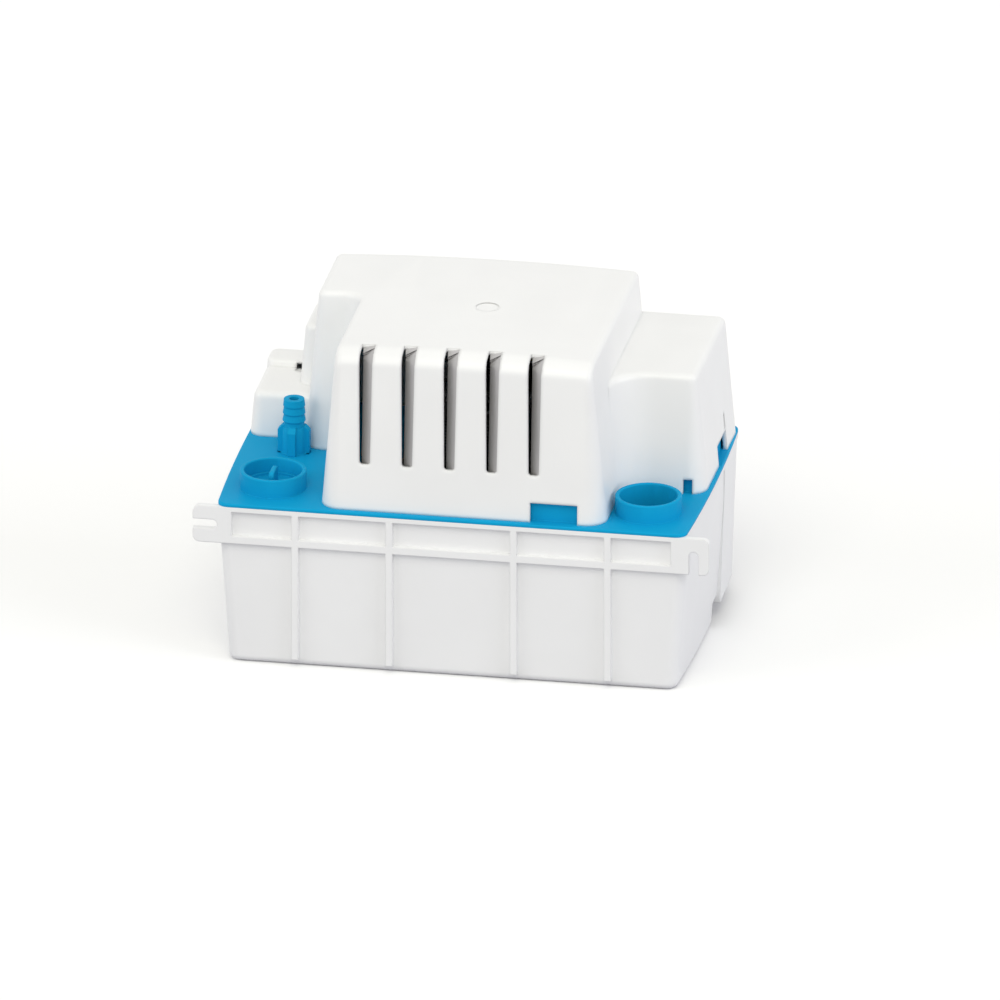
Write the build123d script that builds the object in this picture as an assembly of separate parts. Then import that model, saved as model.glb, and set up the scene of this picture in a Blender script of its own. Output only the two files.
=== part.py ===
from build123d import *
import os
from math import asin, cos, degrees, radians, sin, tan

# Tank-type condensate pump: an open tank, a lid that carries everything else, and a vented motor cover.
# Millimetres. X runs along the long sides, Y across the tank, Z up. The origin is the centre of the footprint
# at floor level. The side with the wall ears is at -Y, and it is called the ear side.

# ---- Tank ----
BODY_LENGTH = 277.0  # along the straight long edges of the rim
BODY_DEPTH = 176.0
END_BOW = 2.2  # bulge of each end wall at mid depth
RIM_HEIGHT = 98.0
RIM_CORNER = 7.0
TANK_WALL = 2.5
PANEL_RECESS = 3.0  # long walls behind the plane of the rim
END_RECESS = 1.0
LONG_DRAFT = 0.75  # degrees
END_DRAFT = 4.0
TANK_BOTTOM_FILLET = 4.5
RIM_FLANGE_HEIGHT = 3.0
BAND_HEIGHT = 22.6  # from the foot of the band to the rim
BAND_RIB_HEIGHT = 4.5
BAND_END_X = 132.0
RIB_WIDTH = 4.0
RIB_FOOT = 5.0
RIB_SPACINGS = (73.6, 184.9)  # between the ribs of the inner pair and of the outer pair
STEP_Y = 17.7  # where the floor steps up, clear of the discharge tube
STEP_RISE = 12.0
PILASTER_START, PILASTER_END = 32.0, 77.0  # along Y, on both end walls
PILASTER_FOOT = 10.0

# ---- Wall ears ----
EAR_SPAN = 305.6
EAR_THICKNESS = 4.0
EAR_CORNER = 4.0
EAR_SLOT_WIDTH = 6.0
EAR_SLOT_LENGTH = 14.3
HANGING_SLOT_X = 143.6
HANGING_SLOT_LENGTH = 14.3

# ---- Lid ----
LID_THICKNESS = 2.0
LID_EDGE = 0.8
SKIRT_DEPTH = 5.0
SKIRT_THICKNESS = 2.0
SKIRT_CLEARANCE = 0.4
INLET_X = 111.0
INLET_SETBACK = 32.2  # from the ear side to the collars' centres
INLET_BORE = 33.8
INLET_WALL = 2.6
INLET_HEIGHT = 10.9  # above the lid
INLET_SKIRT = 6.0  # below the lid
INLET_LEDGE = 1.5

# ---- Cover ----
COVER_WALL = 2.5
COVER_LEAN = 5.0  # degrees, all outer walls
COVER_HEIGHT = 99.0  # above the lid at the crown
ROOF_CROWN_RADIUS = 1650.0
ROOF_CROWN_X = 8.0
HUMP_X_LOW = -79.0
HUMP_X_HIGH = 90.0
COVER_MARGIN = 3.5  # from the rim's long sides to the cover
WING_X_LOW = -105.5
WING_Y_LOW = 5.0
HUMP_CORNER = 3.84  # upright corners of each block, where they meet its top
HUMP_TOP_FILLET = 3.5
WING_INNER_CORNER = 3.0
POD_X_HIGH = 138.7
POD_CLEARANCE = 30.8  # from the collars' centres to the pod's front
POD_HEIGHT = 72.0
POD_SWEEP = 20.0  # radius of the concave corner between pod and hump
POD_CORNER = 4.7
POD_TOP_FILLET = 4.0
SHOULDER_X_LOW = -115.5
SHOULDER_Y_LOW = 34.5
SHOULDER_HEIGHT = 63.5
SHOULDER_CORNER = 4.44
SHOULDER_TOP_FILLET = 3.5
CABLE_BOX_X_LOW = -139.5
CABLE_BOX_Y_LOW = 19.6
CABLE_BOX_HEIGHT = 27.0
CABLE_BOX_CORNER = 5.64
CABLE_BOX_TOP_FILLET = 4.5
RISER_Y = 60.0
RISER_HEIGHT = 4.0
RISER_FILLET = 2.0
RISER_HOLE_X = -116.2
RISER_HOLE_WIDTH = 5.6
BLOCK_LAP = 30.0  # how far the lower blocks run into the hump
SWEEP_SINK = 0.5  # the concave corner bites this far into the hump's wall
LEAST_CORNER = 0.6  # inside corners keep at least this radius
DIMPLE_DIAMETER = 13.5
DIMPLE_DEPTH = 0.7

# ---- Louvred slots ----
SLOT_COUNT = 5
SLOT_PITCH = 25.0
SLOT_MIDDLE_X = -2.1
SLOT_TOP_WIDTH = 8.3
SLOT_FOOT_WIDTH = 6.4
SLOT_FOOT_HEIGHT = 28.6  # above the lid
SLOT_CORNER = 1.8
SLOT_ROOF_REACH = 17.0  # from the cover's base line to the slot's end in the roof
REAR_SLOT_DROP = 9.0  # the rear slots end this far under the roof
VANE_THICKNESS = 1.5
VANE_RUN = 14.0
VANE_SWEEP = 8.0
VANE_LAP = 1.2  # into the wall that carries it

# ---- Notches of the cover and the lid's upstands behind them ----
LONG_NOTCH_X, LONG_NOTCH_WIDTH, LONG_NOTCH_HEIGHT = 60.0, 28.0, 12.0
END_NOTCH_Y, END_NOTCH_WIDTH, END_NOTCH_HEIGHT = 34.5, 27.0, 12.5
POD_NOTCH_X, POD_NOTCH_WIDTH, POD_NOTCH_HEIGHT = 128.3, 5.4, 8.8
END_SLIT_WIDTH, END_SLIT_LOW, END_SLIT_HIGH = 3.0, 14.0, 23.0
UPSTAND_THICKNESS = 2.0
UPSTAND_RISE = 2.0  # above its notch
UPSTAND_LAP = 2.0  # past each side of its notch
UPSTAND_GAP = 0.4
POD_UPSTAND_SETBACK = 0.9  # extra, to clear the pod's round corner

# ---- Cord inlet ----
CORD_INLET_X = -126.0
CORD_INLET_HEIGHT = 12.5
CORD_BORE = 7.6
CORD_BUSHING_WALL = 1.4
CORD_FLANGE = 2.0
CORD_FLANGE_THICKNESS = 1.5
CORD_BOSS_WALL = 2.6
CORD_BOSS_DEPTH = 6.0
CORD_BOSS_PROUD = 0.3  # outside the cover's foot line

# ---- Running parts ----
RUNNING_CLEARANCE = 0.06  # radial
SHAFT_DIAMETER = 6.0
MOTOR_X, MOTOR_Y = 5.0, -18.0
SHAFT_END = 2.0  # above the scroll's floor
SHAFT_TAIL = 3.0  # above the fan's hub

# ---- Volute ----
IMPELLER_RADIUS = 17.0
IMPELLER_VANES = 6
IMPELLER_VANE_HEIGHT = 7.5
IMPELLER_DISC = 1.6
IMPELLER_HUB = 5.0
IMPELLER_GAP = 2.0
IMPELLER_TOP_GAP = 1.2  # under the scroll's roof
IMPELLER_VANE_WALL = 1.4
IMPELLER_TIP_GAP = 0.2  # vanes end inside the disc's edge
SCROLL_GROWTH = 8.0
SCROLL_SWEEP = 300.0  # degrees
SCROLL_HEIGHT = 13.5  # inside
SCROLL_WALL = 2.4
SCROLL_FLOOR = 10.5  # height of the housing's open face
INTAKE_DIAMETER = 15.0
STRAINER_TEETH = 10
STRAINER_RING = 12.0
STRAINER_FOOT = 3.4
STRAINER_THICKNESS = 2.4
STRAINER_WIDTH = 2.8
VOLUTE_COVER_THICKNESS = 2.2
SPIGOT_DIAMETER = 12.0
SPIGOT_BORE = 8.4
SPIGOT_END_X = -40.0
COLUMN_DIAMETER = 19.0
COLUMN_WALL = 2.6
COLUMN_FLANGE_DIAMETER = 36.0
COLUMN_FLANGE_THICKNESS = 3.5
COLUMN_WINDOW_WIDTH, COLUMN_WINDOW_HEIGHT = 7.0, 34.0
COLUMN_SCREWS = 3
COLUMN_SCREW_CIRCLE = 27.5

# ---- Check valve and discharge ----
VALVE_X, VALVE_Y = -109.0, 0.5
SOCKET_BORE = 16.2
SOCKET_WALL = 2.4
SOCKET_DEPTH = 28.0  # below the lid's top
SOCKET_FLOOR = 3.0
SEAT_BORE = 7.0
NIPPLE_LENGTH = 14.0
TUBE_WALL = 2.0
TUBE_BEND = 24.0
TUBE_START_X = -24.0
VALVE_CLEARANCE = 0.1
VALVE_HUB = 14.0
VALVE_GRIP = 18.7
VALVE_GRIPS = 4
VALVE_GRIP_WIDTH = 4.8
VALVE_GRIP_RISE = 3.6  # above the hub
VALVE_GRIP_SLOPE = 2.7
VALVE_HUB_HEIGHT = 13.2
VALVE_SHOULDER_HEIGHT = 2.5
BARB_HEIGHT = 33.0  # above the lid
BARB_ROOT, BARB_CREST, BARB_TIP = 12.0, 13.6, 12.9
BARB_BORE = 5.8
BARB_RINGS = 3
BARB_PITCH = 4.6
BARB_LAND = 3.0
VALVE_CHAMBER = 11.0
BALL_DIAMETER = 9.4
BALL_LIFT = 5.0
BALL_GAP = 0.06
CHAMBER_FOOT_GAP = 1.0
SEAL_LIFT = 12.0  # above the socket's foot
SEAL_THICKNESS = 2.2
SEAL_DEPTH = 1.5
LUG_HEIGHT = 2.0
LUG_REACH = 1.4
LUG_ANGLE = 40.0
LUG_DEPTH = 4.0  # below the lid's top
LUG_CLEARANCE = 0.25

# ---- Inlet plug ----
PLUG_CLEARANCE = 0.08
PLUG_WALL = 1.6
PLUG_DEPTH = 5.0  # below the lid's top
PLUG_HEIGHT = 2.6  # above the lid's top
PLUG_FLOOR = 1.0  # height of the plug's floor above the lid's top
FIN_LENGTH, FIN_THICKNESS = 15.0, 3.0

# ---- Motor ----
PLATE_LIFT = 11.0  # above the lid
PLATE_THICKNESS = 2.0
PLATE_LENGTH, PLATE_WIDTH = 88.0, 58.0
PLATE_CORNER = 8.0
POST_SPACING_X, POST_SPACING_Y = 74.0, 44.0
POST_DIAMETER = 10.0
MOUNT_HEIGHT = 4.0
MOUNT_DIAMETER = 12.0
STACK_LIFT = 8.0  # above the plate's foot
STACK_HEIGHT = 26.0
STACK_LENGTH_X, STACK_FRONT, STACK_BACK = 60.0, 28.0, 56.0  # about the shaft
STACK_CORNER = 3.0
ROTOR_RADIUS = 16.0
AIR_GAP = 0.4
WINDOW_X, WINDOW_FRONT, WINDOW_BACK = 34.0, 21.0, 40.0
POLE_SLOT = 2.5
COIL_WALL = 9.0
BOBBIN_WALL = 1.0
BOBBIN_FLANGE = 1.5
COIL_LENGTH = 31.0
RING_THICKNESS = 1.6
SHADING_ANGLE = 40.0
SHADING_SLOT = 10.0
SHADING_DEPTH = 8.0  # how far a ring reaches from the rotor
ROTOR_OVERHANG = 1.5
BEARING_RADIUS = 5.5
BEARING_LENGTH = 8.0
BOSS_WALL = 2.5
BOLT_X, BOLT_FRONT, BOLT_BACK = 48.0, -21.5, 24.0
BOLT_DIAMETER = 4.0
SPACER_DIAMETER = 7.0
STRAP_LIFT = 8.0  # above the stack
STRAP_THICKNESS = 2.0
STRAP_WIDTH = 16.0
FAN_LIFT = 6.0  # above the strap's foot
FAN_RADIUS = 33.0
FAN_BLADES = 5
FAN_BLADE_THICKNESS = 1.5
FAN_BLADE_WIDTH = 20.0
FAN_PITCH = 28.0
FAN_HUB = 8.0
FAN_HUB_HEIGHT = 10.0

# ---- Float and switch gear ----
FLOAT_X, FLOAT_Y = 105.0, 0.0
FLOAT_LENGTH, FLOAT_WIDTH, FLOAT_HEIGHT = 42.0, 52.0, 26.0
FLOAT_FOOT = 18.0
FLOAT_CORNER = 7.0
FLOAT_EDGE = 2.0
FLOAT_TRAVEL = 32.0
STEM_DIAMETER = 6.0
STEM_CLEARANCE = 0.08
GUIDE_WALL = 2.0
GUIDE_FLANGE = 3.0
GUIDE_FLANGE_THICKNESS = 2.0
GUIDE_DEPTH = 8.0
LEVER_ARM = 50.0
PIVOT_Y = 48.7
PIVOT_LIFT = 38.0  # above the lid
PIN_DIAMETER = 3.0
FINGER_DIAMETER = 2.8
FINGER_PLAY = 0.45
COLLAR_DIAMETER = 11.0
COLLAR_THICKNESS = 1.2
ARM_THICKNESS = 2.0
ARM_HEIGHT = 3.0
ARM_GAP = 0.7
HUB_DIAMETER = 9.0
CAM_RADIUS = 6.5
CAM_WIDTH = 5.0
CAM_PHASE = 110.0  # degrees from straight down to the eccentric, at rest
RUN_CAM_THROW = 1.56
SAFETY_CAM_THROW = 1.2
BUTTON_GAP = 0.1
BUTTON_DIAMETER = 4.4
BUTTON_CLEARANCE = 0.1
SWITCH_WIDTH, SWITCH_LENGTH, SWITCH_HEIGHT = 10.3, 27.8, 15.9
SWITCH_LIFT = 30.5  # top of the switches above the lid
SWITCH_HOLE = 3.1
SWITCH_HOLE_SPACING_Y, SWITCH_HOLE_SPACING_Z = 22.2, 10.3
SWITCH_SCREW_DIAMETER = 3.0
TAB_WIDTH, TAB_THICKNESS, TAB_LENGTH = 4.8, 0.8, 6.0
BRACKET_THICKNESS = 1.5
BRACKET_FOOT_LENGTH, BRACKET_FOOT_WIDTH = 42.0, 40.0
CHEEK_WIDTH = 27.0
CHEEK_HEIGHT = 46.0  # above the lid

# ---- Terminal block ----
BLOCK_X, BLOCK_Y = -124.0, 46.0
TERMINAL_COUNT = 3
TERMINAL_PITCH = 9.0
BLOCK_WIDTH, BLOCK_HEIGHT = 14.0, 12.0

# ---- Screws ----
SCREW_DIAMETER = 3.5
HEAD_DIAMETER, HEAD_HEIGHT = 7.0, 2.2
SCREW_GRIP = 7.0  # thread in its boss
SCREW_BOSS_WALL = 2.2
SCREW_BOSS_HEIGHT = 8.5

# ---- Sizes that follow from the ones above ----
HALF_LENGTH = BODY_LENGTH / 2
HALF_DEPTH = BODY_DEPTH / 2
LID_TOP = RIM_HEIGHT + LID_THICKNESS
BAND_FOOT = RIM_HEIGHT - BAND_HEIGHT
HALF_COVER = HALF_DEPTH - COVER_MARGIN
INLET_Y = INLET_SETBACK - HALF_DEPTH
POD_Y_LOW = INLET_Y + POD_CLEARANCE
SHAFT_RADIUS = SHAFT_DIAMETER / 2
SCROLL_ROOF = SCROLL_FLOOR + SCROLL_HEIGHT
SCROLL_START = IMPELLER_RADIUS + IMPELLER_GAP
SPIGOT_HEIGHT = SCROLL_FLOOR + SCROLL_HEIGHT / 2
SOCKET_FOOT = LID_TOP - SOCKET_DEPTH
SEAL_HEIGHT = SOCKET_FOOT + SEAL_LIFT
LUG_TOP = LID_TOP - LUG_DEPTH
PLATE_HEIGHT = LID_TOP + PLATE_LIFT
STACK_FOOT = PLATE_HEIGHT + STACK_LIFT
STACK_TOP = STACK_FOOT + STACK_HEIGHT
STRAP_HEIGHT = STACK_TOP + STRAP_LIFT
FAN_HEIGHT = STRAP_HEIGHT + FAN_LIFT
SHAFT_FOOT = SCROLL_FLOOR + SHAFT_END
SHAFT_TOP = FAN_HEIGHT + FAN_HUB_HEIGHT + SHAFT_TAIL
PIVOT_HEIGHT = LID_TOP + PIVOT_LIFT
SWITCH_TOP = LID_TOP + SWITCH_LIFT
CHEEK_TOP = LID_TOP + CHEEK_HEIGHT
TUBE_RADIUS = SPIGOT_DIAMETER / 2 + TUBE_WALL
SWING = degrees(asin(FLOAT_TRAVEL / 2 / LEVER_ARM))  # half of the lever's swing
RUN_SWITCH_X = FLOAT_X - SWITCH_WIDTH / 2
SAFETY_SWITCH_X = FLOAT_X + SWITCH_WIDTH / 2


def at(x, y, z, thing):
    """Place a thing by its own origin."""
    return Pos(x, y, z) * thing


def rod(radius, low, high, x=0.0, y=0.0):
    """Upright round bar between two heights."""
    return at(x, y, low, Cylinder(radius, high - low, align=(Align.CENTER, Align.CENTER, Align.MIN)))


def tube(outer, inner, low, high, x=0.0, y=0.0):
    """Upright round tube between two heights."""
    return rod(outer, low, high, x, y) - rod(inner, low, high, x, y)


def bar(x_low, x_high, y_low, y_high, z_low, z_high):
    """Rectangular bar between opposite corners."""
    size = Box(x_high - x_low, y_high - y_low, z_high - z_low, align=(Align.MIN, Align.MIN, Align.MIN))
    return at(x_low, y_low, z_low, size)


def screw(x, y, under_head, length, diameter=SCREW_DIAMETER, up=False):
    """Pan-head screw whose head bears at a height, with its shank pointing down, or up."""
    head = Cylinder(HEAD_DIAMETER / 2, HEAD_HEIGHT, align=(Align.CENTER, Align.CENTER, Align.MIN))
    head = fillet(head.edges().group_by(Axis.Z)[-1], HEAD_HEIGHT / 3)
    shank = Cylinder(diameter / 2, length, align=(Align.CENTER, Align.CENTER, Align.MAX))
    whole = head + shank
    if up:
        whole = Rot(180, 0, 0) * whole
    return at(x, y, under_head, whole)


def body_outline(end_inset, long_inset, corner, height):
    """The tank's plan outline at a height: straight long sides and slightly bowed ends."""
    x = HALF_LENGTH - end_inset
    y = HALF_DEPTH - long_inset
    bow = x + END_BOW
    edges = [
        Line((-x, -y), (x, -y)),
        ThreePointArc((x, -y), (bow, 0), (x, y)),
        Line((x, y), (-x, y)),
        ThreePointArc((-x, y), (-bow, 0), (-x, -y)),
    ]
    face = make_face(edges)
    return Pos(0, 0, height) * fillet(face.vertices(), corner)


def prism(outline, height):
    return extrude(outline, height, dir=(0, 0, 1))


# ---------------------------------------------------------------------------------------------------- tank


def tank_block(inset, floor, corner):
    """Drafted lower walls under an upright band, as one solid block above a floor height."""
    def section(height):
        drop = max(BAND_FOOT - height, 0.0)
        end = END_RECESS + inset + drop * tan(radians(END_DRAFT))
        long = PANEL_RECESS + inset + drop * tan(radians(LONG_DRAFT))
        return body_outline(end, long, corner, height)

    lower = loft([section(floor), section(BAND_FOOT)])
    upper = prism(section(BAND_FOOT), RIM_HEIGHT - BAND_FOOT)
    return lower, upper


def ear(side):
    """Wall ear in the plane of the rim, square to the wall, with rounded outer corners."""
    outer = EAR_SPAN / 2
    plate = bar(BAND_END_X, outer, -HALF_DEPTH, -HALF_DEPTH + EAR_THICKNESS, BAND_FOOT, RIM_HEIGHT)
    plate = fillet(plate.edges().filter_by(Axis.Y).group_by(Axis.X)[-1], EAR_CORNER)
    return plate if side > 0 else mirror(plate, about=Plane.YZ)


def slot_cutter(length, width):
    """Slot through an ear, open at its far end: straight walls and one round end."""
    return extrude(Plane.XZ * SlotOverall(2 * length, width), 2 * EAR_THICKNESS, both=True)


def tank():
    lower, upper = tank_block(0.0, 0.0, RIM_CORNER)
    front = fillet(lower.edges().group_by(Axis.Z)[0], TANK_BOTTOM_FILLET)
    front &= bar(-HALF_LENGTH * 2, HALF_LENGTH * 2, -BODY_DEPTH, STEP_Y, -1, RIM_HEIGHT)
    high_floor, _ = tank_block(0.0, STEP_RISE, RIM_CORNER)
    back = fillet(high_floor.edges().group_by(Axis.Z)[0], TANK_BOTTOM_FILLET)
    shell = front + back + upper

    # Rim flange, band rib and end frames all stand out to the plane of the rim.
    outline = body_outline(0, 0, RIM_CORNER, 0)
    flange = Pos(0, 0, RIM_HEIGHT - RIM_FLANGE_HEIGHT) * prism(outline, RIM_FLANGE_HEIGHT)
    shell += flange
    for side in (-1, 1):
        face_y = side * HALF_DEPTH
        wall_y = side * (HALF_DEPTH - 2 * PANEL_RECESS)
        y_low, y_high = min(face_y, wall_y), max(face_y, wall_y)
        half_rib = RIB_WIDTH / 2
        end_x = BAND_END_X + half_rib
        rib_foot = RIB_FOOT if side < 0 else RIB_FOOT + STEP_RISE
        shell += bar(-end_x, end_x, y_low, y_high, BAND_FOOT, BAND_FOOT + BAND_RIB_HEIGHT)
        for spacing in RIB_SPACINGS:
            for x in (-spacing / 2, spacing / 2):
                shell += bar(x - half_rib, x + half_rib, y_low, y_high, rib_foot, RIM_HEIGHT)
        for x in (-BAND_END_X, BAND_END_X):
            shell += bar(x - half_rib, x + half_rib, y_low, y_high, BAND_FOOT, RIM_HEIGHT)
        shell += ear(side)

    # Pilasters on the end walls, flush with the rim.
    reach = HALF_LENGTH + 2 * END_BOW
    pilasters = bar(-reach, reach, PILASTER_START, PILASTER_END, PILASTER_FOOT, RIM_HEIGHT)
    drop = RIM_HEIGHT - PILASTER_FOOT
    flush = loft([
        body_outline(drop * tan(radians(END_DRAFT / 2)), 0, RIM_CORNER, PILASTER_FOOT),
        body_outline(0, 0, RIM_CORNER, RIM_HEIGHT),
    ])
    shell += pilasters & flush

    # The hollow follows the outer walls at one wall thickness, with the same step in its floor.
    corner = RIM_CORNER - TANK_WALL
    deep, mouth = tank_block(TANK_WALL, TANK_WALL, corner)
    deep &= bar(-HALF_LENGTH, HALF_LENGTH, -HALF_DEPTH, STEP_Y - TANK_WALL, 0, RIM_HEIGHT)
    shallow, _ = tank_block(TANK_WALL, TANK_WALL + STEP_RISE, corner)
    shell -= deep + shallow + mouth

    # Ear slots: one open to the side, one open downward.
    middle = RIM_HEIGHT - BAND_HEIGHT / 2
    side_slot = slot_cutter(EAR_SLOT_LENGTH, EAR_SLOT_WIDTH)
    shell -= at(-EAR_SPAN / 2, -HALF_DEPTH, middle, side_slot)
    hanging = Rot(0, 90, 0) * slot_cutter(HANGING_SLOT_LENGTH, EAR_SLOT_WIDTH)
    shell -= at(HANGING_SLOT_X, -HALF_DEPTH, BAND_FOOT, Rot(0, 180, 0) * hanging)
    return shell


# ----------------------------------------------------------------------------------------------------- lid


def inlet_collar(x):
    outer = INLET_BORE / 2 + INLET_WALL
    low = RIM_HEIGHT - INLET_SKIRT
    collar = tube(outer, INLET_BORE / 2, low, LID_TOP + INLET_HEIGHT, x, INLET_Y)
    collar = fillet(collar.edges().group_by(Axis.Z)[-1], LID_EDGE)
    return collar + tube(outer, INLET_BORE / 2 - INLET_LEDGE, low, low + INLET_LEDGE, x, INLET_Y)


def upstands():
    """Locating walls on the lid, just inside the cover behind its notches."""
    lean = tan(radians(COVER_LEAN))

    def setback(height):
        return COVER_WALL + (height + UPSTAND_RISE) * lean + UPSTAND_GAP

    walls = []
    y = -HALF_COVER + setback(LONG_NOTCH_HEIGHT)
    half = LONG_NOTCH_WIDTH / 2 + UPSTAND_LAP
    top = LID_TOP + LONG_NOTCH_HEIGHT + UPSTAND_RISE
    for low in (y, -y - UPSTAND_THICKNESS):
        high = low + UPSTAND_THICKNESS
        walls.append(bar(LONG_NOTCH_X - half, LONG_NOTCH_X + half, low, high, LID_TOP, top))
    x = POD_X_HIGH - setback(END_NOTCH_HEIGHT)
    half = END_NOTCH_WIDTH / 2 + UPSTAND_LAP
    top = LID_TOP + END_NOTCH_HEIGHT + UPSTAND_RISE
    walls.append(bar(x - UPSTAND_THICKNESS, x, END_NOTCH_Y - half, END_NOTCH_Y + half, LID_TOP, top))
    y = POD_Y_LOW + setback(POD_NOTCH_HEIGHT) + POD_UPSTAND_SETBACK
    half = POD_NOTCH_WIDTH / 2
    top = LID_TOP + POD_NOTCH_HEIGHT + UPSTAND_RISE
    low = POD_NOTCH_X - half - UPSTAND_LAP
    walls.append(bar(low, POD_NOTCH_X + half, y, y + UPSTAND_THICKNESS, LID_TOP, top))
    return walls


def motor_posts():
    """Centres of the four posts under the motor's lower plate."""
    half_x, half_y = POST_SPACING_X / 2, POST_SPACING_Y / 2
    return [(MOTOR_X + i * half_x, MOTOR_Y + j * half_y) for i in (-1, 1) for j in (-1, 1)]


def column_screw_centres():
    radius = COLUMN_SCREW_CIRCLE / 2
    turns = [90 + 360 * i / COLUMN_SCREWS for i in range(COLUMN_SCREWS)]
    return [(MOTOR_X + radius * cos(radians(t)), MOTOR_Y + radius * sin(radians(t))) for t in turns]


def bracket_screw_centres():
    half = BRACKET_FOOT_LENGTH / 2 - HEAD_DIAMETER / 2 - 0.5
    return [(FLOAT_X + i * half, PIVOT_Y) for i in (-1, 1)]


def screw_boss(x, y, low, high):
    return rod(SCREW_DIAMETER / 2 + SCREW_BOSS_WALL, low, high, x, y)


def bayonet_groove():
    """Ring for the valve's lugs inside the socket, with two straight ways in from the top."""
    outer = SOCKET_BORE / 2 + LUG_REACH + LUG_CLEARANCE
    low = LUG_TOP - LUG_HEIGHT - LUG_CLEARANCE
    high = LUG_TOP + LUG_CLEARANCE
    ring = rod(outer, low, high, VALVE_X, VALVE_Y)
    width = 2 * outer * sin(radians(LUG_ANGLE / 2)) + 2 * LUG_CLEARANCE
    entry = bar(VALVE_X - outer, VALVE_X + outer, VALVE_Y - width / 2, VALVE_Y + width / 2, low, LID_TOP)
    return ring + (entry & rod(outer, low, LID_TOP, VALVE_X, VALVE_Y))


def lid():
    outline = body_outline(0, 0, RIM_CORNER, RIM_HEIGHT)
    plate = prism(outline, LID_THICKNESS)
    plate = fillet(plate.edges().group_by(Axis.Z)[-1], LID_EDGE)

    end = END_RECESS + TANK_WALL + SKIRT_CLEARANCE
    long = PANEL_RECESS + TANK_WALL + SKIRT_CLEARANCE
    corner = RIM_CORNER - TANK_WALL
    foot = RIM_HEIGHT - SKIRT_DEPTH
    skirt = prism(body_outline(end, long, corner, foot), SKIRT_DEPTH)
    hollow = body_outline(end + SKIRT_THICKNESS, long + SKIRT_THICKNESS, corner - SKIRT_THICKNESS, foot)
    plate += skirt - prism(hollow, SKIRT_DEPTH)

    for x in (-INLET_X, INLET_X):
        plate += inlet_collar(x)
        plate -= rod(INLET_BORE / 2, RIM_HEIGHT, LID_TOP, x, INLET_Y)
    for wall in upstands():
        plate += wall

    # Valve socket with the ball's seat and a nipple for the discharge tube.
    socket_outer = SOCKET_BORE / 2 + SOCKET_WALL
    plate += rod(socket_outer, SOCKET_FOOT, LID_TOP, VALVE_X, VALVE_Y)
    plate += rod(SPIGOT_DIAMETER / 2, SOCKET_FOOT - NIPPLE_LENGTH, SOCKET_FOOT, VALVE_X, VALVE_Y)
    plate -= rod(SOCKET_BORE / 2, SOCKET_FOOT + SOCKET_FLOOR, LID_TOP, VALVE_X, VALVE_Y)
    plate -= rod(SEAT_BORE / 2, SOCKET_FOOT - NIPPLE_LENGTH, LID_TOP, VALVE_X, VALVE_Y)
    plate -= bayonet_groove()

    # Motor posts, column bosses, switch gear bosses and the way through for the shaft.
    mount_foot = PLATE_HEIGHT - MOUNT_HEIGHT
    for x, y in motor_posts():
        plate += rod(POST_DIAMETER / 2, LID_TOP, mount_foot, x, y)
        plate -= rod(SCREW_DIAMETER / 2, mount_foot - SCREW_GRIP, mount_foot, x, y)
    for x, y in column_screw_centres():
        plate += screw_boss(x, y, LID_TOP, LID_TOP + SCREW_BOSS_HEIGHT)
        plate -= rod(SCREW_DIAMETER / 2, RIM_HEIGHT, LID_TOP + SCREW_GRIP, x, y)
    for x, y in bracket_screw_centres():
        plate += screw_boss(x, y, RIM_HEIGHT - SCREW_BOSS_HEIGHT, RIM_HEIGHT)
        plate -= rod(SCREW_DIAMETER / 2, LID_TOP - SCREW_GRIP, LID_TOP, x, y)
    neck = COLUMN_DIAMETER / 2
    plate += rod(neck, LID_TOP, LID_TOP + LID_THICKNESS, MOTOR_X, MOTOR_Y)
    plate -= rod(neck - COLUMN_WALL, RIM_HEIGHT, LID_TOP + LID_THICKNESS, MOTOR_X, MOTOR_Y)
    guide = STEM_DIAMETER / 2 + STEM_CLEARANCE + GUIDE_WALL
    plate -= rod(guide, RIM_HEIGHT, LID_TOP, FLOAT_X, FLOAT_Y)
    return plate


def inlet_plug():
    radius = INLET_BORE / 2 - PLUG_CLEARANCE
    low, high = LID_TOP - PLUG_DEPTH, LID_TOP + PLUG_HEIGHT
    plug = tube(radius, radius - PLUG_WALL, low, high, -INLET_X, INLET_Y)
    floor = LID_TOP + PLUG_FLOOR
    plug += rod(radius, floor - PLUG_WALL, floor, -INLET_X, INLET_Y)
    half_t, half_l = FIN_THICKNESS / 2, FIN_LENGTH / 2
    fin = bar(-half_t, half_t, -half_l, half_l, floor, LID_TOP + INLET_HEIGHT)
    fin = fillet(fin.edges().filter_by(Axis.X).group_by(Axis.Z)[-1], FIN_THICKNESS)
    fin = fillet(fin.edges().filter_by(Axis.Y).group_by(Axis.Z)[-1], FIN_THICKNESS / 4)
    return plug + at(-INLET_X, INLET_Y, 0, fin)


# --------------------------------------------------------------------------------------------------- cover


def tapered_block(outline, height, top_fillet):
    """Block that leans in on all sides from the lid's top, with a rounded top edge."""
    block = extrude(Pos(0, 0, LID_TOP) * outline, height, dir=(0, 0, 1), taper=COVER_LEAN)
    if top_fillet:
        block = fillet(block.edges().group_by(Axis.Z)[-1], top_fillet)
    return block


def foot_corner(top_corner, height, inset):
    """Plan radius at the lid of an upright corner, given its radius where the leaning walls meet the top."""
    outer = top_corner + height * tan(radians(COVER_LEAN))
    return max(outer - inset, LEAST_CORNER)


def crown(inset):
    """Everything under the roof's gentle crown, as a long bar with an arched top."""
    top = LID_TOP + COVER_HEIGHT - inset
    radius = ROOF_CROWN_RADIUS
    under = Pos(ROOF_CROWN_X, 0, top - radius) * Rot(90, 0, 0) * Cylinder(radius, 2 * BODY_DEPTH)
    return under & bar(-BODY_LENGTH, BODY_LENGTH, -BODY_DEPTH, BODY_DEPTH, LID_TOP - 1, top + 1)


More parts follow.
